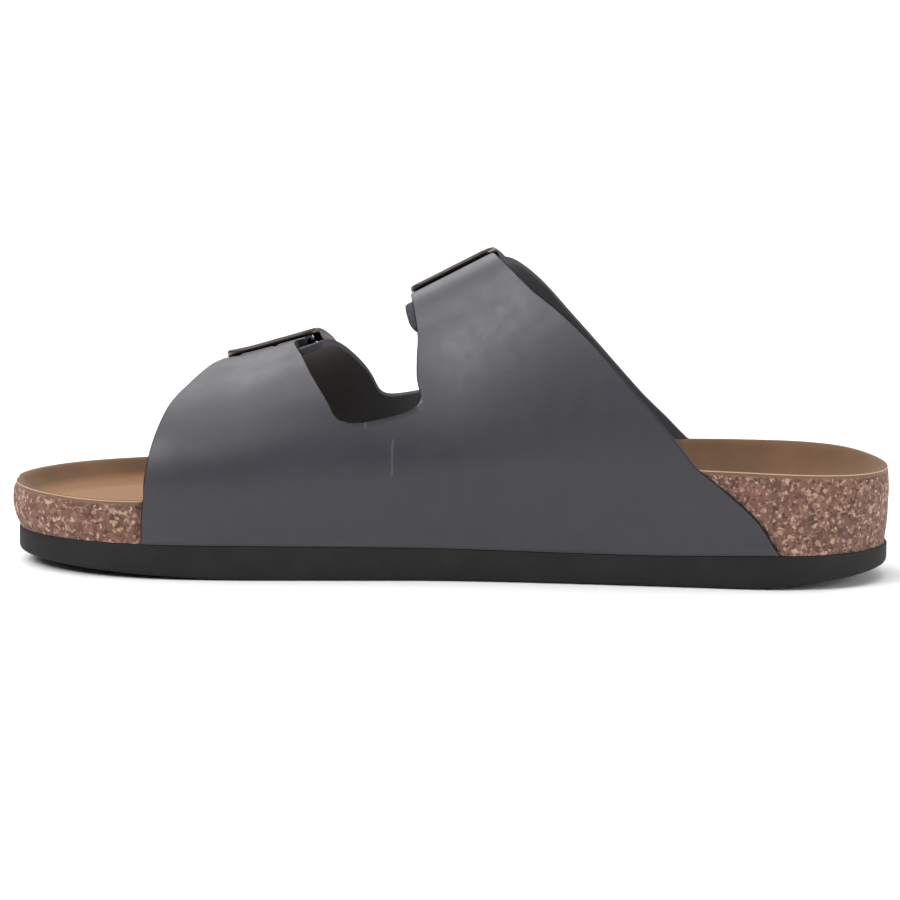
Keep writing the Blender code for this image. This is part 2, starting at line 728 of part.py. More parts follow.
def prong_holes(upper, cutters):
    """Holes through the tongues for the prongs."""
    for buckle in BUCKLES:
        low = on_strap(buckle, buckle.tongue_shift, PRONG_HOLE_AT, 0.0)
        high = on_strap(buckle, buckle.tongue_shift, PRONG_HOLE_AT, PRONG_HOLE_CUTTER_HEIGHT)
        axis = high - low
        bpy.ops.mesh.primitive_cylinder_add(vertices=PRONG_HOLE_POINTS, radius=PRONG_HOLE_RADIUS,
                                            depth=PRONG_HOLE_CUTTER_LENGTH)
        hole = bpy.context.object
        hole.name = f"prong_hole_{buckle.name}"
        hole.location = high
        hole.rotation_mode = "QUATERNION"
        hole.rotation_quaternion = axis.to_track_quat("Z", "Y")
        for collection in hole.users_collection:
            collection.objects.unlink(hole)
        cutters.objects.link(hole)
        hide_cutter(hole)
        cut = upper.modifiers.new(hole.name, "BOOLEAN")
        cut.operation = "DIFFERENCE"
        cut.object = hole
        cut.solver = "EXACT"


def rounded_rectangle(half_length, half_span, radius):
    """Points round a rectangle with round corners, the same number for any size."""
    points = []
    for corner, (sx, sy) in enumerate(((1, 1), (-1, 1), (-1, -1), (1, -1))):
        middle = Vector((sx * (half_length - radius), sy * (half_span - radius)))
        for i in range(FRAME_CORNER_STEPS + 1):
            angle = math.pi / 2 * (corner + i / FRAME_CORNER_STEPS)
            points.append(middle + Vector((math.cos(angle), math.sin(angle))) * radius)
        after_angle = math.pi / 2 * (corner + 1)
        next_x, next_y = ((1, 1), (-1, 1), (-1, -1), (1, -1))[(corner + 1) % 4]
        next_middle = Vector((next_x * (half_length - radius), next_y * (half_span - radius)))
        start = points[-1]
        end = next_middle + Vector((math.cos(after_angle), math.sin(after_angle))) * radius
        for i in range(1, FRAME_SIDE_STEPS):
            points.append(start.lerp(end, i / FRAME_SIDE_STEPS))
    return points


def buckle_frame(buckle, parts, cutters):
    """A rounded rectangle of bar, bent to the foot, whose deep cheeks carry the pin."""
    outer = rounded_rectangle(FRAME_HALF_LENGTH, FRAME_HALF_SPAN, FRAME_OUTER_RADIUS)
    inner = rounded_rectangle(FRAME_HALF_LENGTH - FRAME_SIDE_BAR, FRAME_HALF_SPAN - FRAME_END_BAR,
                              FRAME_INNER_RADIUS)
    soft = FRAME_SOFT_EDGE
    rings = []
    for out, hole in zip(outer, inner):
        inwards = (hole - out).normalized() * soft
        on_end = smooth((abs(out.y) - FRAME_CHEEK_END) / FRAME_CHEEK_FADE)
        bottom = mix(FRAME_CHEEK_BOTTOM, FRAME_END_BOTTOM, on_end)
        section = [(out, FRAME_TOP - soft), (out + inwards, FRAME_TOP), (hole - inwards, FRAME_TOP),
                   (hole, FRAME_TOP - soft), (hole, bottom), (out, bottom)]
        rings.append([on_strap(buckle, spot.x, spot.y, height) for spot, height in section])
    mesh = bmesh.new()
    add_rings(mesh, rings + rings[:1])
    made = finish_mesh(f"buckle_frame_{buckle.name}", mesh, BRONZE, parts)
    half_pin = FRAME_HALF_LENGTH - FRAME_SIDE_BAR / 2
    path = [on_strap(buckle, mix(-half_pin, half_pin, i / (PIN_POINTS - 1)), 0.0, PIN_HEIGHT)
            for i in range(PIN_POINTS)]
    pin = round_bar(f"pin_{buckle.name}", path, PIN_RADIUS, cutters)
    pin = to_mesh(pin)
    hide_cutter(pin)
    join = made.modifiers.new("pin", "BOOLEAN")
    join.operation = "UNION"
    join.object = pin
    join.solver = "EXACT"
    return made


def round_bar(name, path, radius, collection):
    made = poly_curve(name, path, collection)
    made.data.dimensions = "3D"
    made.data.bevel_depth = radius
    made.data.bevel_resolution = 2
    made.data.use_fill_caps = True
    bpy.context.view_layer.update()
    return made


def buckle_prong(buckle, parts):
    path = [on_strap(buckle, buckle.tongue_shift, step.down, step.height) for step in PRONG_PATH]
    made = round_bar(f"buckle_prong_{buckle.name}", path, PRONG_RADIUS, parts)
    made.data.materials.append(material(BRONZE))
    return made


def buckle_loop(buckle, parts):
    """A leather tab on the outer quarter that cradles the pin."""
    rings = []
    for i in range(LOOP_STATIONS):
        along = mix(-LOOP_HALF_WIDTH, LOOP_HALF_WIDTH, i / (LOOP_STATIONS - 1)) + buckle.tongue_shift
        rings.append([on_strap(buckle, along, step.down, step.height) for step in LOOP_SECTION])
    mesh = bmesh.new()
    corners = add_rings(mesh, rings)
    mesh.faces.new(corners[0])
    mesh.faces.new(corners[-1])
    return finish_mesh(f"buckle_loop_{buckle.name}", mesh, SMOOTH_LEATHER, parts)


def main():
    for old in list(bpy.data.objects):
        bpy.data.objects.remove(old)
    parts = bpy.data.collections.new("cork_footbed_sandal")
    grooves = bpy.data.collections.new("sole_groove_cutters")
    cutters = bpy.data.collections.new("other_cutters")
    for collection in (parts, grooves, cutters):
        bpy.context.scene.collection.children.link(collection)
    outsole(parts, grooves)
    footbed(parts)
    insole_lining(parts)
    inner = quarter("upper_inner_quarter", INNER, INNER_CUT, INNER_NOTCH, parts)
    prong_holes(inner, cutters)
    quarter("upper_outer_quarter", OUTER, OUTER_CUT, OUTER_NOTCH, parts)
    for buckle in BUCKLES:
        buckle_frame(buckle, parts, cutters)
        buckle_prong(buckle, parts)
        buckle_loop(buckle, parts)


main()
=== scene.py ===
"""Looks of a cork footbed sandal with two buckled straps, for the right foot.

Y runs along the foot with the toe at -Y, +X is the inner side of the foot, and +Z is up.
A station is a distance along the foot from the back of the sole.
The upper's girth is counted from the sole on either side: 0 at the sole, 1 at the rim of the footbed,
2 at the ridge over the instep, and more than 2 on the far side of the ridge.
"""
import bisect
import math
from collections import namedtuple
from functools import lru_cache

import bmesh
import bpy
from mathutils import Matrix, Vector, noise


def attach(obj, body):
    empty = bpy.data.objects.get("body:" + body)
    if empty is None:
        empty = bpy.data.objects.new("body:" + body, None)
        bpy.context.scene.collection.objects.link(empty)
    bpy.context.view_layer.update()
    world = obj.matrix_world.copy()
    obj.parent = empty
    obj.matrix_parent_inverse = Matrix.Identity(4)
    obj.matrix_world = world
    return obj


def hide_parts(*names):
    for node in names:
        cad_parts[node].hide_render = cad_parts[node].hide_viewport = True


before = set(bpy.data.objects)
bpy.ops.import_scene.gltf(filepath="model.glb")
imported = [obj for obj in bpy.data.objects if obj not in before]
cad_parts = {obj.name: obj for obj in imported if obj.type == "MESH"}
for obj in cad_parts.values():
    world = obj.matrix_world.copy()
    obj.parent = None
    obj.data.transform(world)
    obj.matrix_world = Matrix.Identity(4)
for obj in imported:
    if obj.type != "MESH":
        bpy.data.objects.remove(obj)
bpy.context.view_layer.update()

# Driving dimensions, in metres.
SOLE_LENGTH = 0.2822
TOE_FLARE = 0.0024
HEEL_FLARE = 0.0011
HEEL_ARC = 0.038
TOE_ARC = 0.059
HEEL_POWER = 2.1
TOE_POWER = 2.05
ACROSS_MIDDLE = 0.0006
MIDDLE_STATION = (SOLE_LENGTH + TOE_FLARE - HEEL_FLARE) / 2
GAP = 0.0003
SOLE_SEAM = 0.0001
INNER = 1
OUTER = -1

# The sole, the footbed and the lining, a row for each section across the foot.
# centre and half place the sole's edges, rim and bed are heights of the lining, reach is how far the
# wall runs in from the rim, and top is the height of the outsole's upper face.
Plan = namedtuple("Plan", "station centre half rim_inner rim_outer bed reach top")
PLAN = [
    Plan(0.000, 0.0000, 0.0340, 0.0362, 0.0362, 0.0255, 0.024, 0.0112),
    Plan(0.014, 0.0000, 0.0344, 0.0369, 0.0381, 0.0252, 0.024, 0.0111),
    Plan(0.035, 0.0000, 0.0350, 0.0378, 0.0386, 0.0248, 0.024, 0.0110),
    Plan(0.070, -0.0008, 0.0355, 0.0385, 0.0380, 0.0252, 0.023, 0.0101),
    Plan(0.105, -0.0020, 0.0367, 0.0392, 0.0358, 0.0255, 0.021, 0.0101),
    Plan(0.140, -0.0030, 0.0396, 0.0352, 0.0322, 0.0236, 0.017, 0.0106),
    Plan(0.175, -0.0025, 0.0448, 0.0301, 0.0287, 0.0211, 0.013, 0.0110),
    Plan(0.210, 0.0000, 0.0481, 0.0267, 0.0268, 0.0193, 0.011, 0.0112),
    Plan(0.245, 0.0040, 0.0471, 0.0252, 0.0266, 0.0188, 0.010, 0.0112),
    Plan(0.2822, 0.0095, 0.0443, 0.0262, 0.0267, 0.0192, 0.010, 0.0112),
]
HEEL_STEPS = 44
BODY_STEPS = 190
TOE_STEPS = 60

# The outsole and its tread.
TOE_SPRING = 0.0037
TOE_SPRING_FROM = 0.203
TOE_SPRING_POWER = 1.25
HEEL_BEVEL = 0.0048
HEEL_BEVEL_FROM = 0.046
HEEL_BEVEL_POWER = 1.5
SOLE_TOE_FLARE = 0.0004
SOLE_HEEL_FLARE = 0.0009
Edge = namedtuple("Edge", "inset height")
SOLE_EDGE = [Edge(0.0014, 0.0), Edge(0.0009, 0.0001), Edge(0.0004, 0.0004), Edge(0.0001, 0.0010),
             Edge(0.0, 0.0018), Edge(0.0, 0.0050)]
SOLE_TOP_EDGE = [Edge(0.0, -0.0006), Edge(0.00005, -0.0003), Edge(0.0002, -0.0001), Edge(0.0005, 0.0)]
Tread = namedtuple("Tread", "name first pitch count width depth wave")
TREAD = [
    Tread("groove", 0.0155, 0.0156, 16, 0.0022, 0.0016, 0.0018),
    Tread("sipe", 0.0233, 0.0156, 15, 0.0007, 0.0009, 0.0018),
]
WAVE_LENGTH = 0.024
GROOVE_HALF_RUN = 0.060
GROOVE_STEPS = 60
CUTTER_HEIGHT = 0.008
TREAD_MARGIN = 0.0035

# The footbed and its lining.
LINING = 0.0012
LINING_GLUE = 0.00004
RIM_WIDTH = 0.0018
RIM_ROLL = 0.0008
RIM_TO_WALL = 0.0012
RIM_STEPS = (0.0006, 0.0010, 0.0014, RIM_WIDTH)
RIM_ROUNDING = [Edge(0.0, 0.00045), Edge(0.00012, 0.00015), Edge(0.0003, 0.0)]
WALL_STEPS = 16
FLOOR_STEPS = 12
PAD_STATION = 0.172
PAD_ACROSS = 0.001
PAD_HEIGHT = 0.0024
PAD_LENGTH = 0.018
PAD_WIDTH = 0.013
TOE_BAR_STATION = 0.227
TOE_BAR_SLANT = 0.12
TOE_BAR_HEIGHT = 0.0020
TOE_BAR_LENGTH = 0.0060
TOE_BAR_WIDTH = 0.028
TOE_FLARE_FROM = 0.232
TOE_FLARE_FADE = 0.040
HEEL_FLARE_FROM = 0.030
HEEL_FLARE_FADE = 0.025
Side = namedtuple("Side", "height flare")
CORK_SIDE = [Side(0.0, 0.0), Side(0.35, 0.8), Side(0.7, 1.0), Side(0.93, 0.85), Side(1.0, 0.6)]
CORK_SIDE_STEPS = 26
CORK_ROUGHNESS = 0.00012
CORK_LUMP_SCALE = 260.0

# The leather, and the seat in the cork's side that takes it.
LEATHER = 0.0022
LEATHER_PROUD = 0.0006
SEAT_DEPTH = LEATHER - LEATHER_PROUD + 0.0004
SEAT_FADE = 0.002
BOTTOM_TURN = 0.0012
RIM_TO_ARCH = 0.0008

# The last over the footbed: each section leans back from the rim to the ridge at crest_station.
Arch = namedtuple("Arch", "station crest_station crest_height crest_across power")
ARCH = [
    Arch(0.030, 0.072, 0.1300, 0.0040, 2.15),
    Arch(0.060, 0.099, 0.1155, 0.0040, 2.15),
    Arch(0.092, 0.128, 0.1003, 0.0045, 2.15),
    Arch(0.125, 0.155, 0.0860, 0.0050, 2.15),
    Arch(0.160, 0.180, 0.0742, 0.0055, 2.20),
    Arch(0.191, 0.202, 0.0668, 0.0055, 2.30),
    Arch(0.205, 0.214, 0.0635, 0.0050, 2.35),
    Arch(0.245, 0.250, 0.0575, 0.0050, 2.40),
]
# The inner side's sections are flatter by the notch, where the rear strap is drawn in to its buckle.
InnerSide = namedtuple("InnerSide", "station power")
INNER_SIDE = [
    InnerSide(0.060, 1.90), InnerSide(0.085, 1.85), InnerSide(0.108, 1.72), InnerSide(0.128, 1.62),
    InnerSide(0.150, 1.75), InnerSide(0.172, 2.15), InnerSide(0.191, 2.30), InnerSide(0.245, 2.40),
]

# The cut edges of each quarter as stations, a row for each girth.
Cut = namedtuple("Cut", "girth rear split_rear split_front front")
INNER_CUT = [
    Cut(0.00, 0.0324, 0.1120, 0.1760, 0.2357),
    Cut(0.40, 0.0396, 0.1180, 0.1735, 0.2357),
    Cut(0.70, 0.0488, 0.1240, 0.1710, 0.2355),
    Cut(1.00, 0.0599, 0.1300, 0.1680, 0.2348),
    Cut(1.20, 0.0680, 0.1345, 0.1658, 0.2315),
    Cut(1.36, 0.0737, 0.1340, 0.1660, 0.2283),
    Cut(1.48, 0.0785, 0.1304, 0.1677, 0.2257),
    Cut(1.60, 0.0833, 0.1266, 0.1697, 0.2230),
    Cut(1.80, 0.0878, 0.1238, 0.1728, 0.2171),
    Cut(1.96, 0.0905, 0.1234, 0.1765, 0.2110),
    Cut(2.10, 0.0922, 0.1240, 0.1780, 0.2077),
]
OUTER_CUT = [
    Cut(0.00, 0.0400, 0.1120, 0.1740, 0.2225),
    Cut(0.40, 0.0450, 0.1180, 0.1715, 0.2225),
    Cut(0.70, 0.0540, 0.1240, 0.1690, 0.2222),
    Cut(1.00, 0.0676, 0.1300, 0.1660, 0.2212),
    Cut(1.13, 0.0747, 0.1325, 0.1640, 0.2200),
    Cut(1.376, 0.0815, 0.1345, 0.1613, 0.2165),
    Cut(1.60, 0.0849, 0.1275, 0.1630, 0.2120),
    Cut(1.80, 0.0877, 0.1255, 0.1648, 0.2080),
    Cut(2.00, 0.0900, 0.1270, 0.1661, 0.2045),
    Cut(2.30, 0.0915, 0.1280, 0.1670, 0.2020),
]
CUTS = {INNER: INNER_CUT, OUTER: OUTER_CUT}
Notch = namedtuple("Notch", "top depth power")
INNER_NOTCH = Notch(1.36, 0.112, 3.2)
OUTER_NOTCH = Notch(1.376, 0.124, 5.0)
STRAP_COLUMNS = 34
NOTCH_COLUMNS = 30
BODY_ROWS = 40
NOTCH_ROWS = 6
STRAP_ROWS = 30
SHOULDER_ROWS = 8
PIN_ROWS = 26
TIP_ROWS = 14
RIDGE_ROWS = 14
TONGUE_ROUNDING = 0.0095
TUCK_ROUNDING = 0.0070
TIP_POWER = 2.6
SMALL_GIRTH = 0.002
SMALL_STATION = 0.0002
SKIN_ROUNDING = 0.00035
BACK_ROUNDING = 0.00025
# The two steps in which an edge is rounded, as shares of its radius.
OUTER_STEP = 0.3
INNER_STEP = 0.7

# The buckles: station of the frame's middle, and distances past the ridge, down the outer side.
Buckle = namedtuple("Buckle", "name station pin_at tip_at tuck_at tongue_shift")
BUCKLES = [
    Buckle("rear", 0.1080, 0.0195, 0.0480, 0.0180, 0.0),
    Buckle("front", 0.1881, 0.0230, 0.0510, 0.0045, 0.0010),
]
TUCK_FADE = 0.018
TUCK_END = -0.001
TUCK_SHADE_FROM = 0.004
TONGUE_HALF_WIDTH = 0.0108
SHOULDER_FROM = -0.0135
SHOULDER_LENGTH = 0.0045
RULER_FROM = 1.0
RULER_TO = 3.2
RULER_STEPS = 440
PIN_LIFT = 0.0031
PIN_LIFT_REACH = 0.0110
FRAME_HALF_LENGTH = 0.0158
FRAME_HALF_SPAN = 0.0145
FRAME_SIDE_BAR = 0.0033
FRAME_END_BAR = 0.0040
FRAME_OUTER_RADIUS = 0.0050
FRAME_INNER_RADIUS = 0.0025
FRAME_TOP = 0.0048
FRAME_END_BOTTOM = 0.0028
FRAME_CHEEK_BOTTOM = 0.0006
FRAME_CHEEK_END = 0.0090
FRAME_CHEEK_FADE = 0.0012
# How much of the bronze's copper colour is painted on the side bars' outer faces, as a painted reflection.
FRAME_SIDE_GLINT = 1.0
CORNER_SIGNS = ((1, 1), (-1, 1), (-1, -1), (1, -1))
FRAME_CORNER_STEPS = 14
FRAME_SIDE_STEPS = 12
# The frame's section from its outer side over the top to the hole: a share of the bar's width, a drop
# below the top, and how far the plating has gone copper with use there.
Rail = namedtuple("Rail", "share drop worn")
FRAME_SECTION = [
    Rail(0.0, 0.0014, 0.0), Rail(0.0, 0.0009, 0.0), Rail(0.04, 0.0005, 0.0), Rail(0.14, 0.0001, 0.12),
    Rail(0.30, 0.0, 0.30), Rail(0.50, 0.0, 0.1), Rail(0.72, 0.0001, 0.15), Rail(0.88, 0.0004, 0.3),
    Rail(0.98, 0.0009, 0.1), Rail(1.0, 0.0014, 0.0),
]
FRAME_FOOT = [Rail(0.95, 0.0003, 0.0), Rail(0.80, 0.0, 0.0), Rail(0.20, 0.0, 0.0), Rail(0.05, 0.0003, 0.0)]
PIN_RADIUS = 0.0008
PIN_HEIGHT = 0.0025
PIN_POINTS = 9
PRONG_RADIUS = 0.0008
PRONG_BEND_STEPS = 5
PRONG_WEAR = 0.45
ROUND_BAR_POINTS = 16
# The domed ends of a bar: shares of its radius, as width and as the way out.
DOME = ((0.95, 0.3), (0.75, 0.66), (0.4, 0.92))
HOLE_PITCH = 0.0075
HOLE_FIRST = -0.0105
HOLE_COUNT = 5
PRONG_HOLE = 1
PRONG_HOLE_RADIUS = 0.0018
HOLE_RADIUS = 0.0014
HOLE_CUTTER_LENGTH = 0.008
HOLE_POINTS = 28
LOOP_HALF_WIDTH = 0.0085
LOOP_STATIONS = 25
Step = namedtuple("Step", "down height")
PRONG_PATH = [
    Step(-0.0024, 0.0026), Step(-0.0025, 0.0034), Step(-0.0028, 0.0040), Step(-0.0036, 0.0043),
    Step(-0.0050, 0.0041), Step(-0.0070, 0.0037), Step(-0.0086, 0.0034), Step(-0.0098, 0.0031),
]
LOOP_SECTION = [
    Step(-0.0055, 0.00035), Step(-0.0054, 0.0003), Step(0.0010, 0.0003), Step(0.0022, 0.0003),
    Step(0.0028, 0.0006), Step(0.0031, 0.0010), Step(0.0031, 0.0023), Step(0.0028, 0.0026),
    Step(0.0023, 0.0025), Step(0.0021, 0.0020), Step(0.0018, 0.0014), Step(0.0010, 0.0012),
    Step(-0.0050, 0.0012), Step(-0.0055, 0.0009),
]
STITCH_PITCH = 0.0021
STITCH_LENGTH = 0.0015
THREAD_RADIUS = 0.00022
THREAD_POINTS = 8
THREAD_RINGS = 6
LOOP_STITCH_DOWN = -0.0044
LOOP_STITCH_HEIGHT = 0.00122

# The photograph's frame: camera, lights and floor.
CAMERA_AT = Vector((1.47451, 0.16276, 0.25503))
CAMERA_RIGHT = Vector((-0.111588, 0.993687, 0.011569))
CAMERA_UP = Vector((-0.143045, -0.027582, 0.989332))
CAMERA_LENS = 183.36
SENSOR = 36.0
CLIP_NEAR = 0.05
CLIP_FAR = 200.0
FLOOR_SIZE = 60.0
FLOOR_DROP = 0.0001
WELD = 0.00002
SHARP_ANGLE = math.radians(50)


def read(table, column, at):
    """The table's column at a place between its rows, on a smooth curve through them."""
    places = [row[0] for row in table]
    values = [getattr(row, column) for row in table]
    last = len(table) - 1
    if at <= places[0]:
        return values[0]
    if at >= places[last]:
        return values[last]
    i = max(k for k in range(last) if places[k] < at)

    def slope(k):
        low = max(k - 1, 0)
        high = min(k + 1, last)
        return (values[high] - values[low]) / (places[high] - places[low])

    width = places[i + 1] - places[i]
    u = (at - places[i]) / width
    from_low = (2 * u - 3) * u * u + 1
    from_low_slope = ((u - 2) * u + 1) * u * width
    from_high_slope = (u - 1) * u * u * width
    ends = from_low * values[i] + (1 - from_low) * values[i + 1]
    return ends + from_low_slope * slope(i) + from_high_slope * slope(i + 1)


def smooth(share):
    """0 below 0, 1 above 1, and a smooth rise between."""
    share = min(max(share, 0.0), 1.0)
    return share * share * (3 - 2 * share)


def mix(low, high, share):
    return low + (high - low) * share


def place(station, across, height):
    return Vector((across - ACROSS_MIDDLE, MIDDLE_STATION - station, height))


def end_roundness(station):
    """How much of the half width is left at a station: all of it, but for the round heel and toe."""
    if station < HEEL_ARC:
        share = (HEEL_ARC - station) / HEEL_ARC
        return max(0.0, 1 - share ** HEEL_POWER) ** (1 / HEEL_POWER)
    share = max(0.0, (station - SOLE_LENGTH) / TOE_ARC + 1)
    return max(0.0, 1 - share ** TOE_POWER) ** (1 / TOE_POWER)


def edge(station, side):
    """Where the sole's edge lies across the foot."""
    half = read(PLAN, "half", station) * end_roundness(station)
    return read(PLAN, "centre", station) + side * half


@lru_cache
def outline():
    """Station and side of each point round the sole: up the inner side to the toe, and back."""
    turn = math.pi / 2
    heel = [HEEL_ARC * (1 - math.cos(turn * i / HEEL_STEPS) ** (2 / HEEL_POWER))
            for i in range(HEEL_STEPS)]
    body_length = SOLE_LENGTH - TOE_ARC - HEEL_ARC
    body = [HEEL_ARC + body_length * i / BODY_STEPS for i in range(BODY_STEPS)]
    toe_start = SOLE_LENGTH - TOE_ARC
    toe = [toe_start + TOE_ARC * math.sin(turn * i / TOE_STEPS) ** (2 / TOE_POWER)
           for i in range(TOE_STEPS)]
    stations = heel + body + toe + [SOLE_LENGTH]
    inner = [(station, INNER) for station in stations]
    outer = [(station, OUTER) for station in stations[-2:0:-1]]
    return inner + outer


@lru_cache(maxsize=None)
def edge_and_spine(station, side):
    """A point of the sole's edge, the way straight in towards the bed's spine, and the run to it."""
    start = Vector((station, edge(station, side)))
    spine_station = min(max(station, HEEL_ARC), SOLE_LENGTH - TOE_ARC)
    run = Vector((spine_station, read(PLAN, "centre", spine_station))) - start
    return start, run.normalized(), run.length


def inward(station, side, distance):
    """The point a distance in from the sole's edge, straight towards the bed's spine."""
    start, way, run = edge_and_spine(station, side)
    return start + way * min(distance, run)


def sole_lift(station):
    """Height of the outsole's underside: the toe springs up and the heel is bevelled."""
    toe = max(0.0, (station - TOE_SPRING_FROM) / (SOLE_LENGTH - TOE_SPRING_FROM))
    heel = max(0.0, (HEEL_BEVEL_FROM - station) / HEEL_BEVEL_FROM)
    return TOE_SPRING * toe ** TOE_SPRING_POWER + HEEL_BEVEL * heel ** HEEL_BEVEL_POWER


def sole_top(station):
    return read(PLAN, "top", station)


def rim_height(station, side):
    return read(PLAN, "rim_inner" if side == INNER else "rim_outer", station)


def seat(station, side, share):
    """How far the cork's side is set back under the leather, at a share of its height."""
    rear = smooth((station - read(CUTS[side], "rear", share)) / SEAT_FADE + 1)
    front = smooth((read(CUTS[side], "front", share) - station) / SEAT_FADE + 1)
    return SEAT_DEPTH * rear * front


def end_flare(station, toe, heel):
    """How far the heel and the toe stand out past the sole's plain outline."""
    at_toe = smooth((station - TOE_FLARE_FROM) / TOE_FLARE_FADE)
    at_heel = smooth((HEEL_FLARE_FROM - station) / HEEL_FLARE_FADE)
    return toe * at_toe + heel * at_heel


def cork_inset(station, side, share):
    """How far in from the sole's edge the cork's side is, at a share of its height."""
    flare = end_flare(station, TOE_FLARE, HEEL_FLARE) * read(CORK_SIDE, "flare", share)
    return seat(station, side, share) - flare


def relief(station, across):
    """The raised pad behind the ball of the foot, and the bar under the toes."""
    pad = PAD_HEIGHT * math.exp(-((station - PAD_STATION) / PAD_LENGTH) ** 2
                                - ((across - PAD_ACROSS) / PAD_WIDTH) ** 2)
    bar_station = TOE_BAR_STATION + TOE_BAR_SLANT * across
    bar = TOE_BAR_HEIGHT * math.exp(-((station - bar_station) / TOE_BAR_LENGTH) ** 2
                                    - (across / TOE_BAR_WIDTH) ** 4)
    return pad + bar


def wall_reach(station):
    return read(PLAN, "reach", station) + RIM_TO_WALL


def bed_point(station, side, distance, drop):
    """A point a distance in from the lining's rim, a drop below the lining's top."""
    spot = inward(station, side, cork_inset(station, side, 1.0) + distance)
    floor = read(PLAN, "bed", spot.x) + relief(spot.x, spot.y)
    past_rim = distance - RIM_WIDTH
    rolled = (past_rim + math.hypot(past_rim, RIM_ROLL)) / 2
    fall = min(rolled / wall_reach(station), 1.0)
    height = floor + (rim_height(station, side) - floor) * (1 - fall) ** 2
    return place(spot.x, spot.y, height - drop)


def bed_rings(drop):
    """Rings of the bed's surface from inside the rim's rounding to the spine."""
    rings = []
    for distance in RIM_STEPS:
        rings.append([bed_point(station, side, distance, drop) for station, side in outline()])
    for i in range(1, WALL_STEPS + 1):
        share = i / WALL_STEPS
        rings.append([bed_point(station, side, RIM_WIDTH + share * wall_reach(station), drop)
                      for station, side in outline()])
    for i in range(1, FLOOR_STEPS + 1):
        ring = []
        for station, side in outline():
            wall_foot = RIM_WIDTH + wall_reach(station)
            spine = edge_and_spine(station, side)[2] - cork_inset(station, side, 1.0)
            ring.append(bed_point(station, side, mix(wall_foot, spine, i / FLOOR_STEPS), drop))
        rings.append(ring)
    return rings


def rim_ring(inset, drop):
    return [bed_point(station, side, inset, drop) for station, side in outline()]


def cork_ring(share):
    """A ring of the cork's side, a little uneven as ground cork is."""
    ring = []
    for station, side in outline():
        low = sole_top(station) + SOLE_SEAM
        high = rim_height(station, side) - LINING - LINING_GLUE
        height = mix(low, high, share)
        spot = inward(station, side, cork_inset(station, side, share))
        lump = noise.noise(place(spot.x, spot.y, height) * CORK_LUMP_SCALE)
        inset = cork_inset(station, side, share) + CORK_ROUGHNESS * lump * math.sin(math.pi * share)
        spot = inward(station, side, inset)
        ring.append(place(spot.x, spot.y, height))
    return ring


def sole_ring(inset, rise, surface):
    """The sole's outline, set in by an inset and a rise above one of the sole's surfaces."""
    ring = []
    for station, side in outline():
        spot = inward(station, side, inset - end_flare(station, SOLE_TOE_FLARE, SOLE_HEEL_FLARE))
        ring.append(place(spot.x, spot.y, surface(station) + rise))
    return ring


def add_rings(mesh, rings):
    """Faces between rings that all have the same number of points; gives the rings' corners."""
    corners = [[mesh.verts.new(point) for point in ring] for ring in rings]
    count = len(rings[0])
    for low, high in zip(corners, corners[1:]):
        for i in range(count):
            after = (i + 1) % count
            mesh.faces.new((low[i], low[after], high[after], high[i]))
    return corners


def add_rungs(mesh, ring):
    """Closes a ring with faces that run straight across the foot, like a ladder's rungs."""
    count = len(ring)
    for i in range(count // 2):
        corners = [ring[i], ring[i + 1], ring[(count - i - 1) % count], ring[(count - i) % count]]
        unlike = [corner for n, corner in enumerate(corners) if corner not in corners[:n]]
        mesh.faces.new(unlike)


def weld(mesh):
    bmesh.ops.remove_doubles(mesh, verts=mesh.verts, dist=WELD)
    bmesh.ops.recalc_face_normals(mesh, faces=mesh.faces)


def sole_solid(rings):
    """A closed solid between the first and the last of the rings round the sole."""
    mesh = bmesh.new()
    corners = add_rings(mesh, rings)
    add_rungs(mesh, corners[0])
    add_rungs(mesh, corners[-1])
    weld(mesh)
    return mesh


def link(made):
    bpy.context.scene.collection.objects.link(made)
    return made


def shade(data):
    """Shades the mesh smooth but for its sharp edges."""
    data.shade_smooth()
    data.set_sharp_from_angle(angle=SHARP_ANGLE)


def new_piece(name, mesh, finishes):
    data = bpy.data.meshes.new(name)
    mesh.to_mesh(data)
    mesh.free()
    shade(data)
    for finish in finishes:
        data.materials.append(finish)
    return link(bpy.data.objects.new(name, data))


def dress(piece, slot, *nodes):
    """The piece rides on the sandal's one body and stands for the nodes."""
    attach(piece, "root")
    if nodes:
        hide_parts(*nodes)


def remove(piece):
    data = piece.data
    bpy.data.objects.remove(piece)
    if data.users == 0 and isinstance(data, bpy.types.Mesh):
        bpy.data.meshes.remove(data)


def plain_mesh(piece):
    """A new mesh of the piece as its modifiers make it."""
    view = bpy.context.evaluated_depsgraph_get()
    return bpy.data.meshes.new_from_object(piece.evaluated_get(view))


def apply_modifiers(piece):
    data = plain_mesh(piece)
    piece.modifiers.clear()
    piece.data = data


def add_boolean(piece, other, operation):
    cut = piece.modifiers.new("cut", "BOOLEAN")
    cut.operation = operation
    cut.object = other
    cut.solver = "EXACT"


def cut_away(piece, cutters):
    """Cuts each of the cutters out of the piece."""
    for cutter in cutters:
        add_boolean(piece, cutter, "DIFFERENCE")
    apply_modifiers(piece)
    for cutter in cutters:
        remove(cutter)
    shade(piece.data)


# Trees of nodes that make what repeats.
def add_node(tree, kind, inputs=None, **settings):
    """A node with its settings, and its inputs set to values or joined to other sockets."""
    node = tree.nodes.new(kind)
    for name, value in settings.items():
        setattr(node, name, value)
    for name, value in (inputs or {}).items():
        if isinstance(value, bpy.types.NodeSocket):
            tree.links.new(value, node.inputs[name])
        else:
            node.inputs[name].default_value = value
    return node


def maths(tree, operation, first, second=0.0, clamp=False):
    node = add_node(tree, "ShaderNodeMath", {0: first, 1: second}, operation=operation, use_clamp=clamp)
    return node.outputs[0]


def times(tree, first, second):
    return maths(tree, "MULTIPLY", first, second)


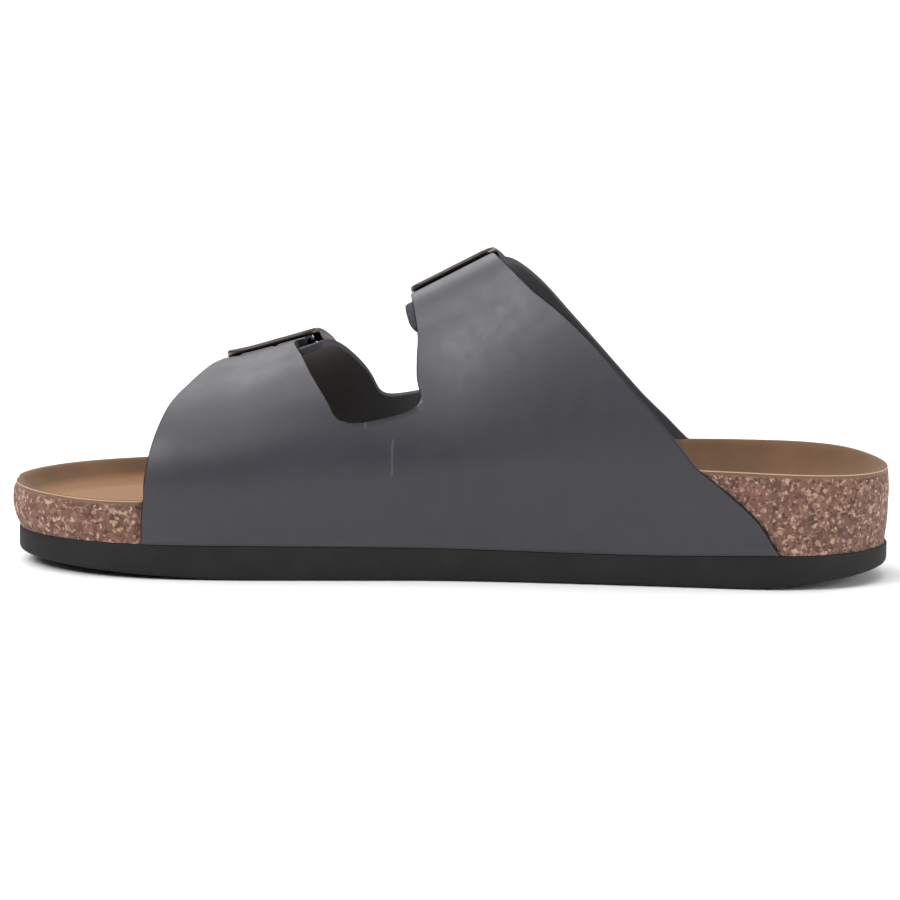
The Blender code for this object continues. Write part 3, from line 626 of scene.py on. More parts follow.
def start_tree(name, sizes):
    """A geometry tree with a geometry input and named sizes; gives the tree and its input node."""
    tree = bpy.data.node_groups.new(name, "GeometryNodeTree")
    tree.interface.new_socket("Geometry", in_out="INPUT", socket_type="NodeSocketGeometry")
    for size in sizes:
        kind = "NodeSocketInt" if size == "Count" else "NodeSocketFloat"
        tree.interface.new_socket(size, in_out="INPUT", socket_type=kind)
    tree.interface.new_socket("Finish", in_out="INPUT", socket_type="NodeSocketMaterial")
    tree.interface.new_socket("Geometry", in_out="OUTPUT", socket_type="NodeSocketGeometry")
    return tree, tree.nodes.new("NodeGroupInput")


def end_tree(tree, given, instances):
    """Realizes the instances and gives them their finish."""
    real = add_node(tree, "GeometryNodeRealizeInstances", {"Geometry": instances})
    finished = add_node(tree, "GeometryNodeSetMaterial",
                        {"Geometry": real.outputs["Geometry"], "Material": given.outputs["Finish"]})
    output = tree.nodes.new("NodeGroupOutput")
    tree.links.new(finished.outputs["Geometry"], output.inputs["Geometry"])


def run_tree(piece, tree, values):
    """Runs a geometry tree on a piece with the values, and keeps the result as plain mesh."""
    modifier = piece.modifiers.new(tree.name, "NODES")
    modifier.node_group = tree
    sockets = {item.name: item.identifier for item in tree.interface.items_tree
               if item.in_out == "INPUT"}
    for name, value in values.items():
        modifier[sockets[name]] = value
    data = plain_mesh(piece)
    name = piece.name
    remove(piece)
    return link(bpy.data.objects.new(name, data))


@lru_cache
def tread_tree():
    """Wavy slots at an even pitch along the foot, each a flat band swept across the sole."""
    tree, given = start_tree("wavy_tread", ["Pitch", "Count", "Width", "Wave"])
    line = add_node(tree, "GeometryNodeCurvePrimitiveLine",
                    {"Start": (-GROOVE_HALF_RUN, 0.0, 0.0), "End": (GROOVE_HALF_RUN, 0.0, 0.0)})
    fine = add_node(tree, "GeometryNodeResampleCurve",
                    {"Curve": line.outputs["Curve"], "Count": GROOVE_STEPS + 1})
    position = add_node(tree, "GeometryNodeInputPosition").outputs[0]
    spot = add_node(tree, "ShaderNodeSeparateXYZ", {"Vector": position})
    turns = times(tree, spot.outputs["X"], math.tau / WAVE_LENGTH)
    wave = times(tree, maths(tree, "SINE", turns), given.outputs["Wave"])
    shift = add_node(tree, "ShaderNodeCombineXYZ", {"Y": wave})
    wavy = add_node(tree, "GeometryNodeSetPosition",
                    {"Geometry": fine.outputs["Curve"], "Offset": shift.outputs["Vector"]})
    profile = add_node(tree, "GeometryNodeCurvePrimitiveQuadrilateral",
                       {"Width": given.outputs["Width"], "Height": CUTTER_HEIGHT})
    slot = add_node(tree, "GeometryNodeCurveToMesh",
                    {"Curve": wavy.outputs["Geometry"], "Profile Curve": profile.outputs["Curve"],
                     "Fill Caps": True})
    step = add_node(tree, "ShaderNodeCombineXYZ", {"Y": given.outputs["Pitch"]})
    spots = add_node(tree, "GeometryNodeMeshLine",
                     {"Count": given.outputs["Count"], "Offset": step.outputs["Vector"]})
    slots = add_node(tree, "GeometryNodeInstanceOnPoints",
                     {"Points": spots.outputs["Mesh"], "Instance": slot.outputs["Mesh"]})
    end_tree(tree, given, slots.outputs["Instances"])
    return tree


@lru_cache
def stitch_tree():
    """Short round threads laid end to end along a seam's curve."""
    tree, given = start_tree("stitches", ["Pitch", "Length", "Radius"])
    spots = add_node(tree, "GeometryNodeCurveToPoints",
                     {"Curve": given.outputs["Geometry"], "Length": given.outputs["Pitch"]},
                     mode="LENGTH")
    thread = add_node(tree, "GeometryNodeMeshUVSphere",
                      {"Segments": THREAD_POINTS, "Rings": THREAD_RINGS, "Radius": 1.0})
    radius = given.outputs["Radius"]
    size = add_node(tree, "ShaderNodeCombineXYZ",
                    {"X": radius, "Y": radius, "Z": times(tree, given.outputs["Length"], 0.5)})
    shaped = add_node(tree, "GeometryNodeTransform",
                      {"Geometry": thread.outputs["Mesh"], "Scale": size.outputs["Vector"]})
    turned = add_node(tree, "FunctionNodeAlignRotationToVector",
                      {"Vector": spots.outputs["Tangent"]}, axis="Z")
    stitches = add_node(tree, "GeometryNodeInstanceOnPoints",
                        {"Points": spots.outputs["Points"], "Instance": shaped.outputs["Geometry"],
                         "Rotation": turned.outputs["Rotation"]})
    end_tree(tree, given, stitches.outputs["Instances"])
    return tree


# Finishes. A bump has a depth and a strength, and a spread turns values from low to high into
# values from to_low to to_high.
Noise = namedtuple("Noise", "scale detail roughness", defaults=(2.0, 0.5))
Bump = namedtuple("Bump", "depth strength")
Spread = namedtuple("Spread", "low high to_low to_high", defaults=(0.0, 1.0))
EVEN = Spread(0.3, 0.7)


def new_finish(name, settings):
    """A material with its shader's settings and the object's own coordinates."""
    made = bpy.data.materials.new(name)
    made.use_nodes = True
    tree = made.node_tree
    shader = tree.nodes["Principled BSDF"]
    for setting, value in settings.items():
        shader.inputs[setting].default_value = value
    coords = tree.nodes.new("ShaderNodeTexCoord").outputs["Object"]
    return made, tree, shader, coords


def noise_node(tree, coords, look, output="Fac"):
    inputs = {"Vector": coords, "Scale": look.scale, "Detail": look.detail, "Roughness": look.roughness}
    return add_node(tree, "ShaderNodeTexNoise", inputs).outputs[output]


def cells_node(tree, coords, scale, **settings):
    return add_node(tree, "ShaderNodeTexVoronoi", {"Vector": coords, "Scale": scale}, **settings)


def ramp_node(tree, factor, stops_of_colour):
    """A colour ramp: stops are places and linear colours."""
    node = add_node(tree, "ShaderNodeValToRGB", {"Fac": factor})
    line = node.color_ramp.elements
    while len(line) > 1:
        line.remove(line[0])
    line[0].position = stops_of_colour[0][0]
    line[0].color = (*stops_of_colour[0][1], 1.0)
    for position, colour in stops_of_colour[1:]:
        line.new(position).color = (*colour, 1.0)
    return node.outputs["Color"]


def mix_colours(tree, factor, low, high):
    low, high = ((*value, 1.0) if isinstance(value, tuple) else value for value in (low, high))
    return add_node(tree, "ShaderNodeMix", {0: factor, 6: low, 7: high}, data_type="RGBA").outputs[2]


def range_node(tree, value, spread):
    inputs = {"Value": value, "From Min": spread.low, "From Max": spread.high,
              "To Min": spread.to_low, "To Max": spread.to_high}
    return add_node(tree, "ShaderNodeMapRange", inputs).outputs["Result"]


def bump_node(tree, shader, height, bump, under=None):
    inputs = {"Height": height, "Distance": bump.depth, "Strength": bump.strength}
    if under:
        inputs["Normal"] = under
    node = add_node(tree, "ShaderNodeBump", inputs)
    tree.links.new(node.outputs["Normal"], shader.inputs["Normal"])
    return node.outputs["Normal"]


def band(tree, value, middle, half, fade):
    """1 within half of the middle, and 0 past the fade beyond it."""
    away = maths(tree, "ABSOLUTE", maths(tree, "SUBTRACT", value, middle))
    return range_node(tree, away, Spread(half, half + fade, 1.0, 0.0))


def paint(tree, shader, colour):
    tree.links.new(colour, shader.inputs["Base Color"])


def two_tone(tree, shader, factor, low, high):
    paint(tree, shader, mix_colours(tree, factor, low, high))


LEATHER_COLOUR = (0.0186, 0.0162, 0.0248)
LEATHER_DARK = (0.0154, 0.0134, 0.0210)
LEATHER_CLOUDS = Noise(38.0, 3.0)
LEATHER_PORES = 1300.0
LEATHER_PORE_BUMP = Bump(0.00004, 0.5)
LEATHER_WRINKLES = Noise(420.0, 4.0)
LEATHER_WRINKLE_BUMP = Bump(0.00005, 0.4)
LEATHER_GLOSS = Noise(210.0, 3.0)
LEATHER_ROUGHNESS = Spread(0.3, 0.7, 0.42, 0.50)
# Painted highlights, pale lines where creases in the leather by the notch catch the light: along, lowest
# and highest points, half width.
CreaseGlint = namedtuple("CreaseGlint", "along low high half strength")
CREASE_GLINTS = [
    CreaseGlint(-0.0146, 0.0345, 0.0450, 0.00022, 0.3),
    CreaseGlint(-0.0234, 0.0496, 0.0508, 0.00018, 0.4),
]
CREASE_GLINT_COLOUR = (0.12, 0.12, 0.13)
CREASE_GLINT_WANDER = 0.0009
CREASE_GLINT_WANDERING = Noise(160.0)
CREASE_GLINT_FADE = 0.001
CREASE_GLINT_SIDE = Spread(0.0, 0.01)


def strap_leather():
    """Smooth dark grey leather with a fine grain, and painted highlights of creases beside the notch."""
    made, tree, shader, coords = new_finish("strap_leather_grain", {"Specular IOR Level": 0.7})
    cloudy = range_node(tree, noise_node(tree, coords, LEATHER_CLOUDS), EVEN)
    colour = mix_colours(tree, cloudy, LEATHER_DARK, LEATHER_COLOUR)
    axes = add_node(tree, "ShaderNodeSeparateXYZ", {"Vector": coords})
    # Painted highlights: pale lines where creases by the notch catch the light, on the inner side only.
    swing = maths(tree, "SUBTRACT", noise_node(tree, coords, CREASE_GLINT_WANDERING), 0.5)
    along = maths(tree, "ADD", axes.outputs["Y"], times(tree, swing, CREASE_GLINT_WANDER))
    inner_side = range_node(tree, axes.outputs["X"], CREASE_GLINT_SIDE)
    for glint in CREASE_GLINTS:
        line = band(tree, along, glint.along, glint.half, glint.half)
        middle = (glint.low + glint.high) / 2
        run = band(tree, axes.outputs["Z"], middle, (glint.high - glint.low) / 2, CREASE_GLINT_FADE)
        worn = times(tree, times(tree, line, run), times(tree, inner_side, glint.strength))
        colour = mix_colours(tree, worn, colour, CREASE_GLINT_COLOUR)
    paint(tree, shader, colour)
    gloss = range_node(tree, noise_node(tree, coords, LEATHER_GLOSS), LEATHER_ROUGHNESS)
    tree.links.new(gloss, shader.inputs["Roughness"])
    pores = cells_node(tree, coords, LEATHER_PORES).outputs["Distance"]
    grain = bump_node(tree, shader, pores, LEATHER_PORE_BUMP)
    bump_node(tree, shader, noise_node(tree, coords, LEATHER_WRINKLES), LEATHER_WRINKLE_BUMP, under=grain)
    return made


FELT_LOW = (0.050, 0.054, 0.061)
FELT_HIGH = (0.080, 0.086, 0.094)
FELT_FLUFF = Noise(900.0, 5.0, 0.7)
FELT_BUMP = Bump(0.00025, 0.7)


def leather_back():
    """The dark, slightly fluffy back of the leather."""
    made, tree, shader, coords = new_finish(
        "leather_back_felt", {"Roughness": 0.95, "Sheen Weight": 0.15, "Sheen Roughness": 0.5})
    fluff = noise_node(tree, coords, FELT_FLUFF)
    two_tone(tree, shader, fluff, FELT_LOW, FELT_HIGH)
    bump_node(tree, shader, fluff, FELT_BUMP)
    return made


INK_AND_SHADE_LOW = (0.028, 0.027, 0.034)
INK_AND_SHADE_HIGH = (0.052, 0.050, 0.061)
CUT_FIBRES = Noise(1500.0, 4.0, 0.65)
CUT_BUMP = Bump(0.00012, 0.6)


def cut_edge_and_shade_leather():
    """The cut edge, inked dark, with the leather's fibres showing a little; the same dark finish is
    painted shade on the outer quarter's tucked end.
    """
    made, tree, shader, coords = new_finish(
        "leather_cut_edge_and_shade", {"Roughness": 0.7, "Specular IOR Level": 0.2})
    fibres = noise_node(tree, coords, CUT_FIBRES)
    two_tone(tree, shader, fibres, INK_AND_SHADE_LOW, INK_AND_SHADE_HIGH)
    bump_node(tree, shader, fibres, CUT_BUMP)
    return made


GRANULES = 600.0
CHIPS = 1080.0
CORK_BEND = Noise(330.0)
HALF = (0.5, 0.5, 0.5)
CORK_BENT_BY = 0.0019
GRANULE_TONES = [
    (0.0, (0.070, 0.030, 0.021)), (0.16, (0.126, 0.058, 0.040)), (0.45, (0.184, 0.088, 0.064)),
    (0.70, (0.239, 0.124, 0.088)), (0.86, (0.329, 0.194, 0.136)), (1.0, (0.450, 0.290, 0.204)),
]
CHIP_TONES = [
    (0.0, (0.061, 0.026, 0.018)), (0.2, (0.140, 0.066, 0.045)), (0.74, (0.195, 0.099, 0.067)),
    (0.82, (0.387, 0.245, 0.173)), (1.0, (0.522, 0.364, 0.271)),
]
CHIPS_SHOW = Spread(0.48, 0.60, 0.0, 0.85)
SEAM_COLOUR = (0.062, 0.030, 0.023)
SEAM_DARK = Spread(0.0, 0.10, 0.45, 0.0)
STRIP_LOW = (0.150, 0.080, 0.047)
STRIP_HIGH = (0.215, 0.122, 0.074)
STRIP_RAGGED = Noise(300.0)
STRIP_RAGGED_BY = 0.0006
STRIP_FADE = Spread(0.0005, 0.0010, 0.8, 0.0)
STRIP_CLOUDS = Noise(500.0, 4.0)
PITTED = Spread(0.0, 0.25)
PIT_EDGE = Spread(0.0, 0.12)
PIT_BUMP = Bump(0.00022, 0.8)
CRUMBS = Noise(1400.0, 4.0, 0.6)
CRUMB_BUMP = Bump(0.00012, 0.6)


def bent_coords(tree, coords):
    """Coordinates pushed about by a noise, so that the granules' outlines aren't straight."""
    bend = noise_node(tree, coords, CORK_BEND, "Color")
    centred = add_node(tree, "ShaderNodeVectorMath", {0: bend, 1: HALF}, operation="SUBTRACT")
    scaled = add_node(tree, "ShaderNodeVectorMath", {0: centred.outputs[0], "Scale": CORK_BENT_BY},
                      operation="SCALE")
    moved = add_node(tree, "ShaderNodeVectorMath", {0: coords, 1: scaled.outputs[0]}, operation="ADD")
    return moved.outputs[0]


def cork():
    """Pressed granules of reddish and pale cork, with a smooth brown strip under the lining."""
    made, tree, shader, coords = new_finish("pressed_cork", {"Roughness": 0.82})
    bent = bent_coords(tree, coords)
    granules = cells_node(tree, bent, GRANULES).outputs["Color"]
    granule_edge = cells_node(tree, bent, GRANULES, feature="DISTANCE_TO_EDGE").outputs["Distance"]
    chips = cells_node(tree, bent, CHIPS).outputs["Color"]
    tone = add_node(tree, "ShaderNodeSeparateColor", {"Color": granules})
    chip_tone = add_node(tree, "ShaderNodeSeparateColor", {"Color": chips})
    body = ramp_node(tree, tone.outputs[0], GRANULE_TONES)
    fleck = ramp_node(tree, chip_tone.outputs[1], CHIP_TONES)
    colour = mix_colours(tree, range_node(tree, chip_tone.outputs[0], CHIPS_SHOW), body, fleck)
    colour = mix_colours(tree, range_node(tree, granule_edge, SEAM_DARK), colour, SEAM_COLOUR)
    below = add_node(tree, "ShaderNodeAttribute", attribute_name="below_rim").outputs["Fac"]
    uneven = times(tree, noise_node(tree, coords, STRIP_RAGGED), STRIP_RAGGED_BY)
    strip = range_node(tree, maths(tree, "ADD", below, uneven), STRIP_FADE)
    plain = mix_colours(tree, noise_node(tree, coords, STRIP_CLOUDS), STRIP_LOW, STRIP_HIGH)
    two_tone(tree, shader, strip, colour, plain)
    pits = times(tree, range_node(tree, tone.outputs[2], PITTED), range_node(tree, granule_edge, PIT_EDGE))
    pitted = bump_node(tree, shader, pits, PIT_BUMP)
    bump_node(tree, shader, noise_node(tree, coords, CRUMBS), CRUMB_BUMP, under=pitted)
    return made


SUEDE_SHEEN = {"Sheen Weight": 0.12, "Sheen Roughness": 0.6, "Sheen Tint": (0.9, 0.72, 0.5, 1.0)}
SUEDE_PATCHES = Noise(34.0, 4.0, 0.6)
PATCH_SPREAD = Spread(0.35, 0.65, 0.0, 0.55)
SUEDE_NAP = Noise(1600.0, 4.0, 0.7)
NAP_SHARE = 0.45
NAP_BUMP = Bump(0.00012, 0.6)
SUEDE_WAVES = Noise(220.0, 3.0)
WAVE_BUMP = Bump(0.00012, 0.4)
# Painted light: the nap on the floor of the toe end is paler than the walls above it: places along the
# foot, and heights.
LIT_TOE_FLOOR_ALONG = Spread(-0.060, -0.090)
LIT_TOE_FLOOR_HEIGHT = Spread(0.0225, 0.0205)
LIT_TOE_FLOOR_PALER = 1.45


def suede(name, low, high):
    """Tan suede: a short nap in soft patches."""
    made, tree, shader, coords = new_finish(name, {"Roughness": 0.95, **SUEDE_SHEEN})
    patches = range_node(tree, noise_node(tree, coords, SUEDE_PATCHES), PATCH_SPREAD)
    nap = noise_node(tree, coords, SUEDE_NAP)
    factor = maths(tree, "ADD", patches, times(tree, nap, NAP_SHARE))
    colour = mix_colours(tree, factor, low, high)
    axes = add_node(tree, "ShaderNodeSeparateXYZ", {"Vector": coords})
    # Painted light: the toe end's floor is painted paler than its walls.
    brightened = times(tree, range_node(tree, axes.outputs["Y"], LIT_TOE_FLOOR_ALONG),
                   range_node(tree, axes.outputs["Z"], LIT_TOE_FLOOR_HEIGHT))
    two_tone(tree, shader, brightened, colour, tuple(LIT_TOE_FLOOR_PALER * level for level in high))
    fibre = bump_node(tree, shader, nap, NAP_BUMP)
    bump_node(tree, shader, noise_node(tree, coords, SUEDE_WAVES), WAVE_BUMP, under=fibre)
    return made


FOAM_LOW = (0.012, 0.012, 0.0125)
FOAM_HIGH = (0.019, 0.0185, 0.019)
FOAM_DUST = Noise(55.0, 5.0, 0.6)
DUST_SPREAD = Spread(0.45, 0.8)
FOAM_CELLS = 1700.0
CELL_BUMP = Bump(0.00005, 0.5)
FOAM_WAVES = Noise(260.0, 3.0)
FOAM_WAVE_BUMP = Bump(0.00010, 0.4)


def sole_foam():
    """Black foam rubber with a fine moulded grain and a trace of dust."""
    made, tree, shader, coords = new_finish(
        "black_foam_rubber", {"Roughness": 0.72, "Specular IOR Level": 0.25})
    dust = range_node(tree, noise_node(tree, coords, FOAM_DUST), DUST_SPREAD)
    two_tone(tree, shader, dust, FOAM_LOW, FOAM_HIGH)
    grain = bump_node(tree, shader, cells_node(tree, coords, FOAM_CELLS).outputs["Distance"], CELL_BUMP)
    bump_node(tree, shader, noise_node(tree, coords, FOAM_WAVES), FOAM_WAVE_BUMP, under=grain)
    return made


BRONZE_DARK = (0.040, 0.034, 0.033)
# Copper of plating gone bright with use, also painted on the side bars' outer faces as a painted
# reflection.
BRONZE_RUBBED_AND_GLINT = (0.29, 0.20, 0.17)
BRONZE_PATCHES = Noise(260.0, 4.0, 0.6)
BRONZE_PATCHY = Spread(0.3, 0.7, 0.35, 1.0)
BRONZE_GLOSS = Noise(700.0, 3.0)
BRONZE_ROUGHNESS = Spread(0.3, 0.7, 0.26, 0.42)
BRONZE_DENTS = Noise(900.0, 3.0)
BRONZE_BUMP = Bump(0.00004, 0.4)


def antique_bronze():
    """Dark plating gone coppery along its edges with use, and a painted reflection in the same copper on
    the side bars' outer faces.
    """
    made, tree, shader, coords = new_finish("antique_bronze_plating", {"Metallic": 1.0})
    worn = add_node(tree, "ShaderNodeAttribute", attribute_name="worn").outputs["Fac"]
    patches = range_node(tree, noise_node(tree, coords, BRONZE_PATCHES), BRONZE_PATCHY)
    brightened = maths(tree, "MULTIPLY", worn, patches, clamp=True)
    two_tone(tree, shader, brightened, BRONZE_DARK, BRONZE_RUBBED_AND_GLINT)
    gloss = range_node(tree, noise_node(tree, coords, BRONZE_GLOSS), BRONZE_ROUGHNESS)
    tree.links.new(gloss, shader.inputs["Roughness"])
    bump_node(tree, shader, noise_node(tree, coords, BRONZE_DENTS), BRONZE_BUMP)
    return made


THREAD_LOW = (0.02, 0.02, 0.022)
THREAD_HIGH = (0.06, 0.06, 0.065)
THREAD_TWIST = Noise(2600.0)
THREAD_BUMP = Bump(0.0001, 0.7)


def seam_thread():
    """Dark waxed thread, twisted."""
    made, tree, shader, coords = new_finish("seam_thread", {"Roughness": 0.6})
    twist = noise_node(tree, coords, THREAD_TWIST)
    two_tone(tree, shader, twist, THREAD_LOW, THREAD_HIGH)
    bump_node(tree, shader, twist, THREAD_BUMP)
    return made


# The sole and the footbed.
def tread_cutters(tread):
    """The slots of one kind of tread, raised with the sole's underside."""
    start = link(bpy.data.objects.new(f"tread_{tread.name}", bpy.data.meshes.new("start")))
    made = run_tree(start, tread_tree(), {"Pitch": -tread.pitch, "Count": tread.count,
                                          "Width": tread.width, "Wave": -tread.wave})
    for corner in made.data.vertices:
        number = round(-corner.co.y / tread.pitch)
        rise = sole_lift(tread.first + number * tread.pitch) + tread.depth - CUTTER_HEIGHT / 2
        corner.co += place(tread.first, 0.0, rise)
    mesh = bmesh.new()
    mesh.from_mesh(made.data)
    weld(mesh)
    mesh.to_mesh(made.data)
    mesh.free()
    field = tread_field()
    add_boolean(made, field, "INTERSECT")
    apply_modifiers(made)
    remove(field)
    return made


def tread_field():
    """The solid within which the slots are cut, set in from the sole's edge."""
    rings = [sole_ring(TREAD_MARGIN, rise, sole_lift) for rise in (-CUTTER_HEIGHT, CUTTER_HEIGHT)]
    return new_piece("tread_field", sole_solid(rings), [])


def outsole():
    rings = [sole_ring(step.inset, step.height, sole_lift) for step in SOLE_EDGE]
    rings += [sole_ring(step.inset, step.height, sole_top) for step in SOLE_TOP_EDGE]
    made = new_piece("foam_outsole", sole_solid(rings), [sole_foam()])
    cut_away(made, [tread_cutters(tread) for tread in TREAD])
    dress(made, "sole_rubber", "outsole")


def footbed():
    mesh = bmesh.new()
    below_rim = mesh.verts.layers.float.new("below_rim")
    sides = [cork_ring(i / CORK_SIDE_STEPS) for i in range(CORK_SIDE_STEPS + 1)]
    corners = add_rings(mesh, sides + bed_rings(LINING + LINING_GLUE))
    add_rungs(mesh, corners[0])
    for ring in corners[:len(sides)]:
        for corner, (station, side) in zip(ring, outline()):
            corner[below_rim] = rim_height(station, side) - LINING - corner.co.z
    weld(mesh)
    dress(new_piece("cork_footbed", mesh, [cork()]), "cork", "footbed")


# The lining's finishes, in the order of its material slots.
Suede = namedtuple("Suede", "name low high")
SUEDES = [
    Suede("suede_nap", (0.078, 0.036, 0.0155), (0.146, 0.073, 0.034)),
    Suede("suede_cut_edge", (0.128, 0.067, 0.040), (0.196, 0.110, 0.068)),
    Suede("suede_rubbed_rim", (0.40, 0.27, 0.165), (0.52, 0.37, 0.24)),
]
CUT_RIM = 1
PALE_RIM = 2


def insole_lining():
    mesh = bmesh.new()
    underside = [rim_ring(0.0, LINING)] + bed_rings(LINING)
    rounding = [rim_ring(step.inset, step.height) for step in RIM_ROUNDING]
    corners = add_rings(mesh, underside[::-1] + rounding + bed_rings(0.0))
    cut = len(underside) - 1
    # A pale band is painted along the rounded top of the rim, above the darker cut edge.
    for i, finish in ((cut, CUT_RIM), (cut + 1, PALE_RIM)):
        low, high = set(corners[i]), set(corners[i + 1])
        for face in {face for corner in low for face in corner.link_faces}:
            if high & set(face.verts):
                face.material_index = finish
    weld(mesh)
    made = new_piece("suede_footbed_lining", mesh, [suede(*kind) for kind in SUEDES])
    dress(made, "suede_lining", "insole_lining")


# The upper.
def arch_point(side, station, girth):
    """A point of the upper's outer face: up from the sole, over the ridge and down the far side."""
    if girth > 2:
        side = -side
        girth = 4 - girth
    rim = rim_height(station, side) + RIM_TO_ARCH
    if girth <= 1:
        low = sole_top(station) + SOLE_SEAM
        height = mix(low, rim, girth)
        proud = LEATHER_PROUD * smooth((height - low) / BOTTOM_TURN)
        return place(station, edge(station, side) + side * proud, height)
    rise = math.sin((girth - 1) * math.pi / 2) ** (2 / read(ARCH, "power", station))
    power = read(INNER_SIDE if side == INNER else ARCH, "power", station)
    reach = max(0.0, 1 - rise ** power) ** (1 / power)
    leaning = mix(station, read(ARCH, "crest_station", station), rise)
    height = mix(rim, read(ARCH, "crest_height", station), rise)
    crest = read(ARCH, "crest_across", station)
    side_edge = edge(leaning, side) + side * LEATHER_PROUD
    return place(leaning, mix(crest, side_edge, reach), height)


def arch_frame(side, station, girth):
    """A point of the upper's outer face and the way straight out of it."""
    above = arch_point(side, station, girth + SMALL_GIRTH)
    below = arch_point(side, station, girth - SMALL_GIRTH)
    ahead = arch_point(side, station + SMALL_STATION, girth)
    behind = arch_point(side, station - SMALL_STATION, girth)
    outward = (above - below).cross(ahead - behind).normalized() * side
    return arch_point(side, station, girth), outward


@lru_cache
def ridge_ruler(buckle):
    """Girths and their distances past the ridge, down the outer side, at a buckle's station."""
    girths = [mix(RULER_FROM, RULER_TO, i / RULER_STEPS) for i in range(RULER_STEPS + 1)]
    points = [arch_point(INNER, buckle.station, girth) for girth in girths]
    lengths = [0.0]
    for here, there in zip(points, points[1:]):
        lengths.append(lengths[-1] + (there - here).length)
    at_ridge = lengths[round(RULER_STEPS * (2 - RULER_FROM) / (RULER_TO - RULER_FROM))]
    return girths, [length - at_ridge for length in lengths]


def between(places, values, place_wanted):
    """The value at a place on a fine ruler."""
    i = min(max(bisect.bisect_right(places, place_wanted), 1), len(places) - 1)
    share = (place_wanted - places[i - 1]) / (places[i] - places[i - 1])
    return mix(values[i - 1], values[i], share)


def girth_at(buckle, distance):
    girths, distances = ridge_ruler(buckle)
    return between(distances, girths, distance)


def distance_at(buckle, girth):
    girths, distances = ridge_ruler(buckle)
    return between(girths, distances, girth)


@lru_cache
def station_pace(buckle):
    """Metres along the leather to one metre of station, under a buckle's pin."""
    girth = girth_at(buckle, buckle.pin_at)
    ahead = arch_point(INNER, buckle.station + SMALL_STATION, girth)
    behind = arch_point(INNER, buckle.station - SMALL_STATION, girth)
    return (ahead - behind).length / (2 * SMALL_STATION)


def on_strap(buckle, along, down, height):
    """A point over the outer quarter, along and down from the middle of a buckle's pin."""
    station = buckle.station + along / station_pace(buckle)
    point, outward = arch_frame(INNER, station, girth_at(buckle, buckle.pin_at + down))
    return point + outward * height


def tucked(distance):
    """0 where the outer strap lies under the inner one, 1 past the ridge where it lies on the last."""
    return smooth((distance - TUCK_END) / TUCK_FADE + 1)


def inner_height(buckle, girth):
    """Height of the inner quarter's outer face: it climbs on to the outer quarter and over the pin."""
    distance = distance_at(buckle, girth)
    from_pin = min(abs(distance - buckle.pin_at) / PIN_LIFT_REACH, 1.0)
    return (LEATHER + GAP) * tucked(distance) + PIN_LIFT * math.cos(from_pin * math.pi / 2) ** 2


def outer_height(buckle, girth):
    """Height of the outer quarter's outer face: its ends dip under the inner straps."""
    return (LEATHER + GAP) * (tucked(distance_at(buckle, 4 - girth)) - 1)


def stops(marks, counts):
    """Even steps between marks, with a count of steps for each stretch."""
    girths = [marks[0]]
    for low, high, count in zip(marks, marks[1:], counts):
        girths += [mix(low, high, i / count) for i in range(1, count + 1)]
    return girths


def inner_stops(buckle, notch, roundness):
    """Girths of an inner strap's rows, from the notch past the pin to the tongue's round tip."""
    shoulder = buckle.pin_at + SHOULDER_FROM
    distances = (shoulder, shoulder + SHOULDER_LENGTH, buckle.pin_at + PIN_LIFT_REACH,
                 buckle.tip_at - TONGUE_ROUNDING * roundness)
    marks = [0, notch_corner(notch)[1], notch.top, *(girth_at(buckle, distance) for distance in distances)]
    return stops(marks, (BODY_ROWS, NOTCH_ROWS, STRAP_ROWS, SHOULDER_ROWS, PIN_ROWS, TIP_ROWS))


def outer_stops(buckle, notch, roundness):
    """Girths of an outer strap's rows, from the notch to its round end under the inner strap."""
    marks = [0, notch_corner(notch)[1], notch.top, 4 - girth_at(buckle, FRAME_HALF_SPAN),
             4 - girth_at(buckle, TUCK_ROUNDING * roundness - buckle.tuck_at)]
    return stops(marks, (BODY_ROWS, NOTCH_ROWS, STRAP_ROWS, RIDGE_ROWS))


def notch_corner(notch):
    """Where the notch's side turns into its floor: share across the notch, and girth."""
    reach = 0.5 ** (1 / notch.power)
    return 0.5 - 0.5 * reach, notch.top - notch.depth * reach


def notch_side(notch, girth):
    """Share across the notch where its rear side lies at a girth; all the way in at its corner."""
    fall = max(0.0, (notch.top - girth) / notch.depth)
    if fall ** notch.power > 0.5:
        return notch_corner(notch)[0]
    return 0.5 - 0.5 * (1 - fall ** notch.power) ** (1 / notch.power)


def notch_floor(notch, share):
    """Girth of the notch's floor at a share across it."""
    away = abs(2 * share - 1)
    return notch.top - notch.depth * (1 - away ** notch.power) ** (1 / notch.power)


def quarter_columns():
    """Strap, and share of the way across it, for each column from the rear edge to the front."""
    shares = [i / STRAP_COLUMNS for i in range(STRAP_COLUMNS + 1)]
    rear = [("rear", share) for share in shares]
    notch = [("notch", i / NOTCH_COLUMNS) for i in range(1, NOTCH_COLUMNS)]
    front = [("front", share) for share in shares]
    return rear + notch + front


def in_notch(cut, girth, share):
    """Station at a share of the way across the notch, from the rear strap to the front one."""
    return mix(read(cut, "split_rear", girth), read(cut, "split_front", girth), share)


def buckle_of(strap):
    return BUCKLES[0] if strap == "rear" else BUCKLES[1]


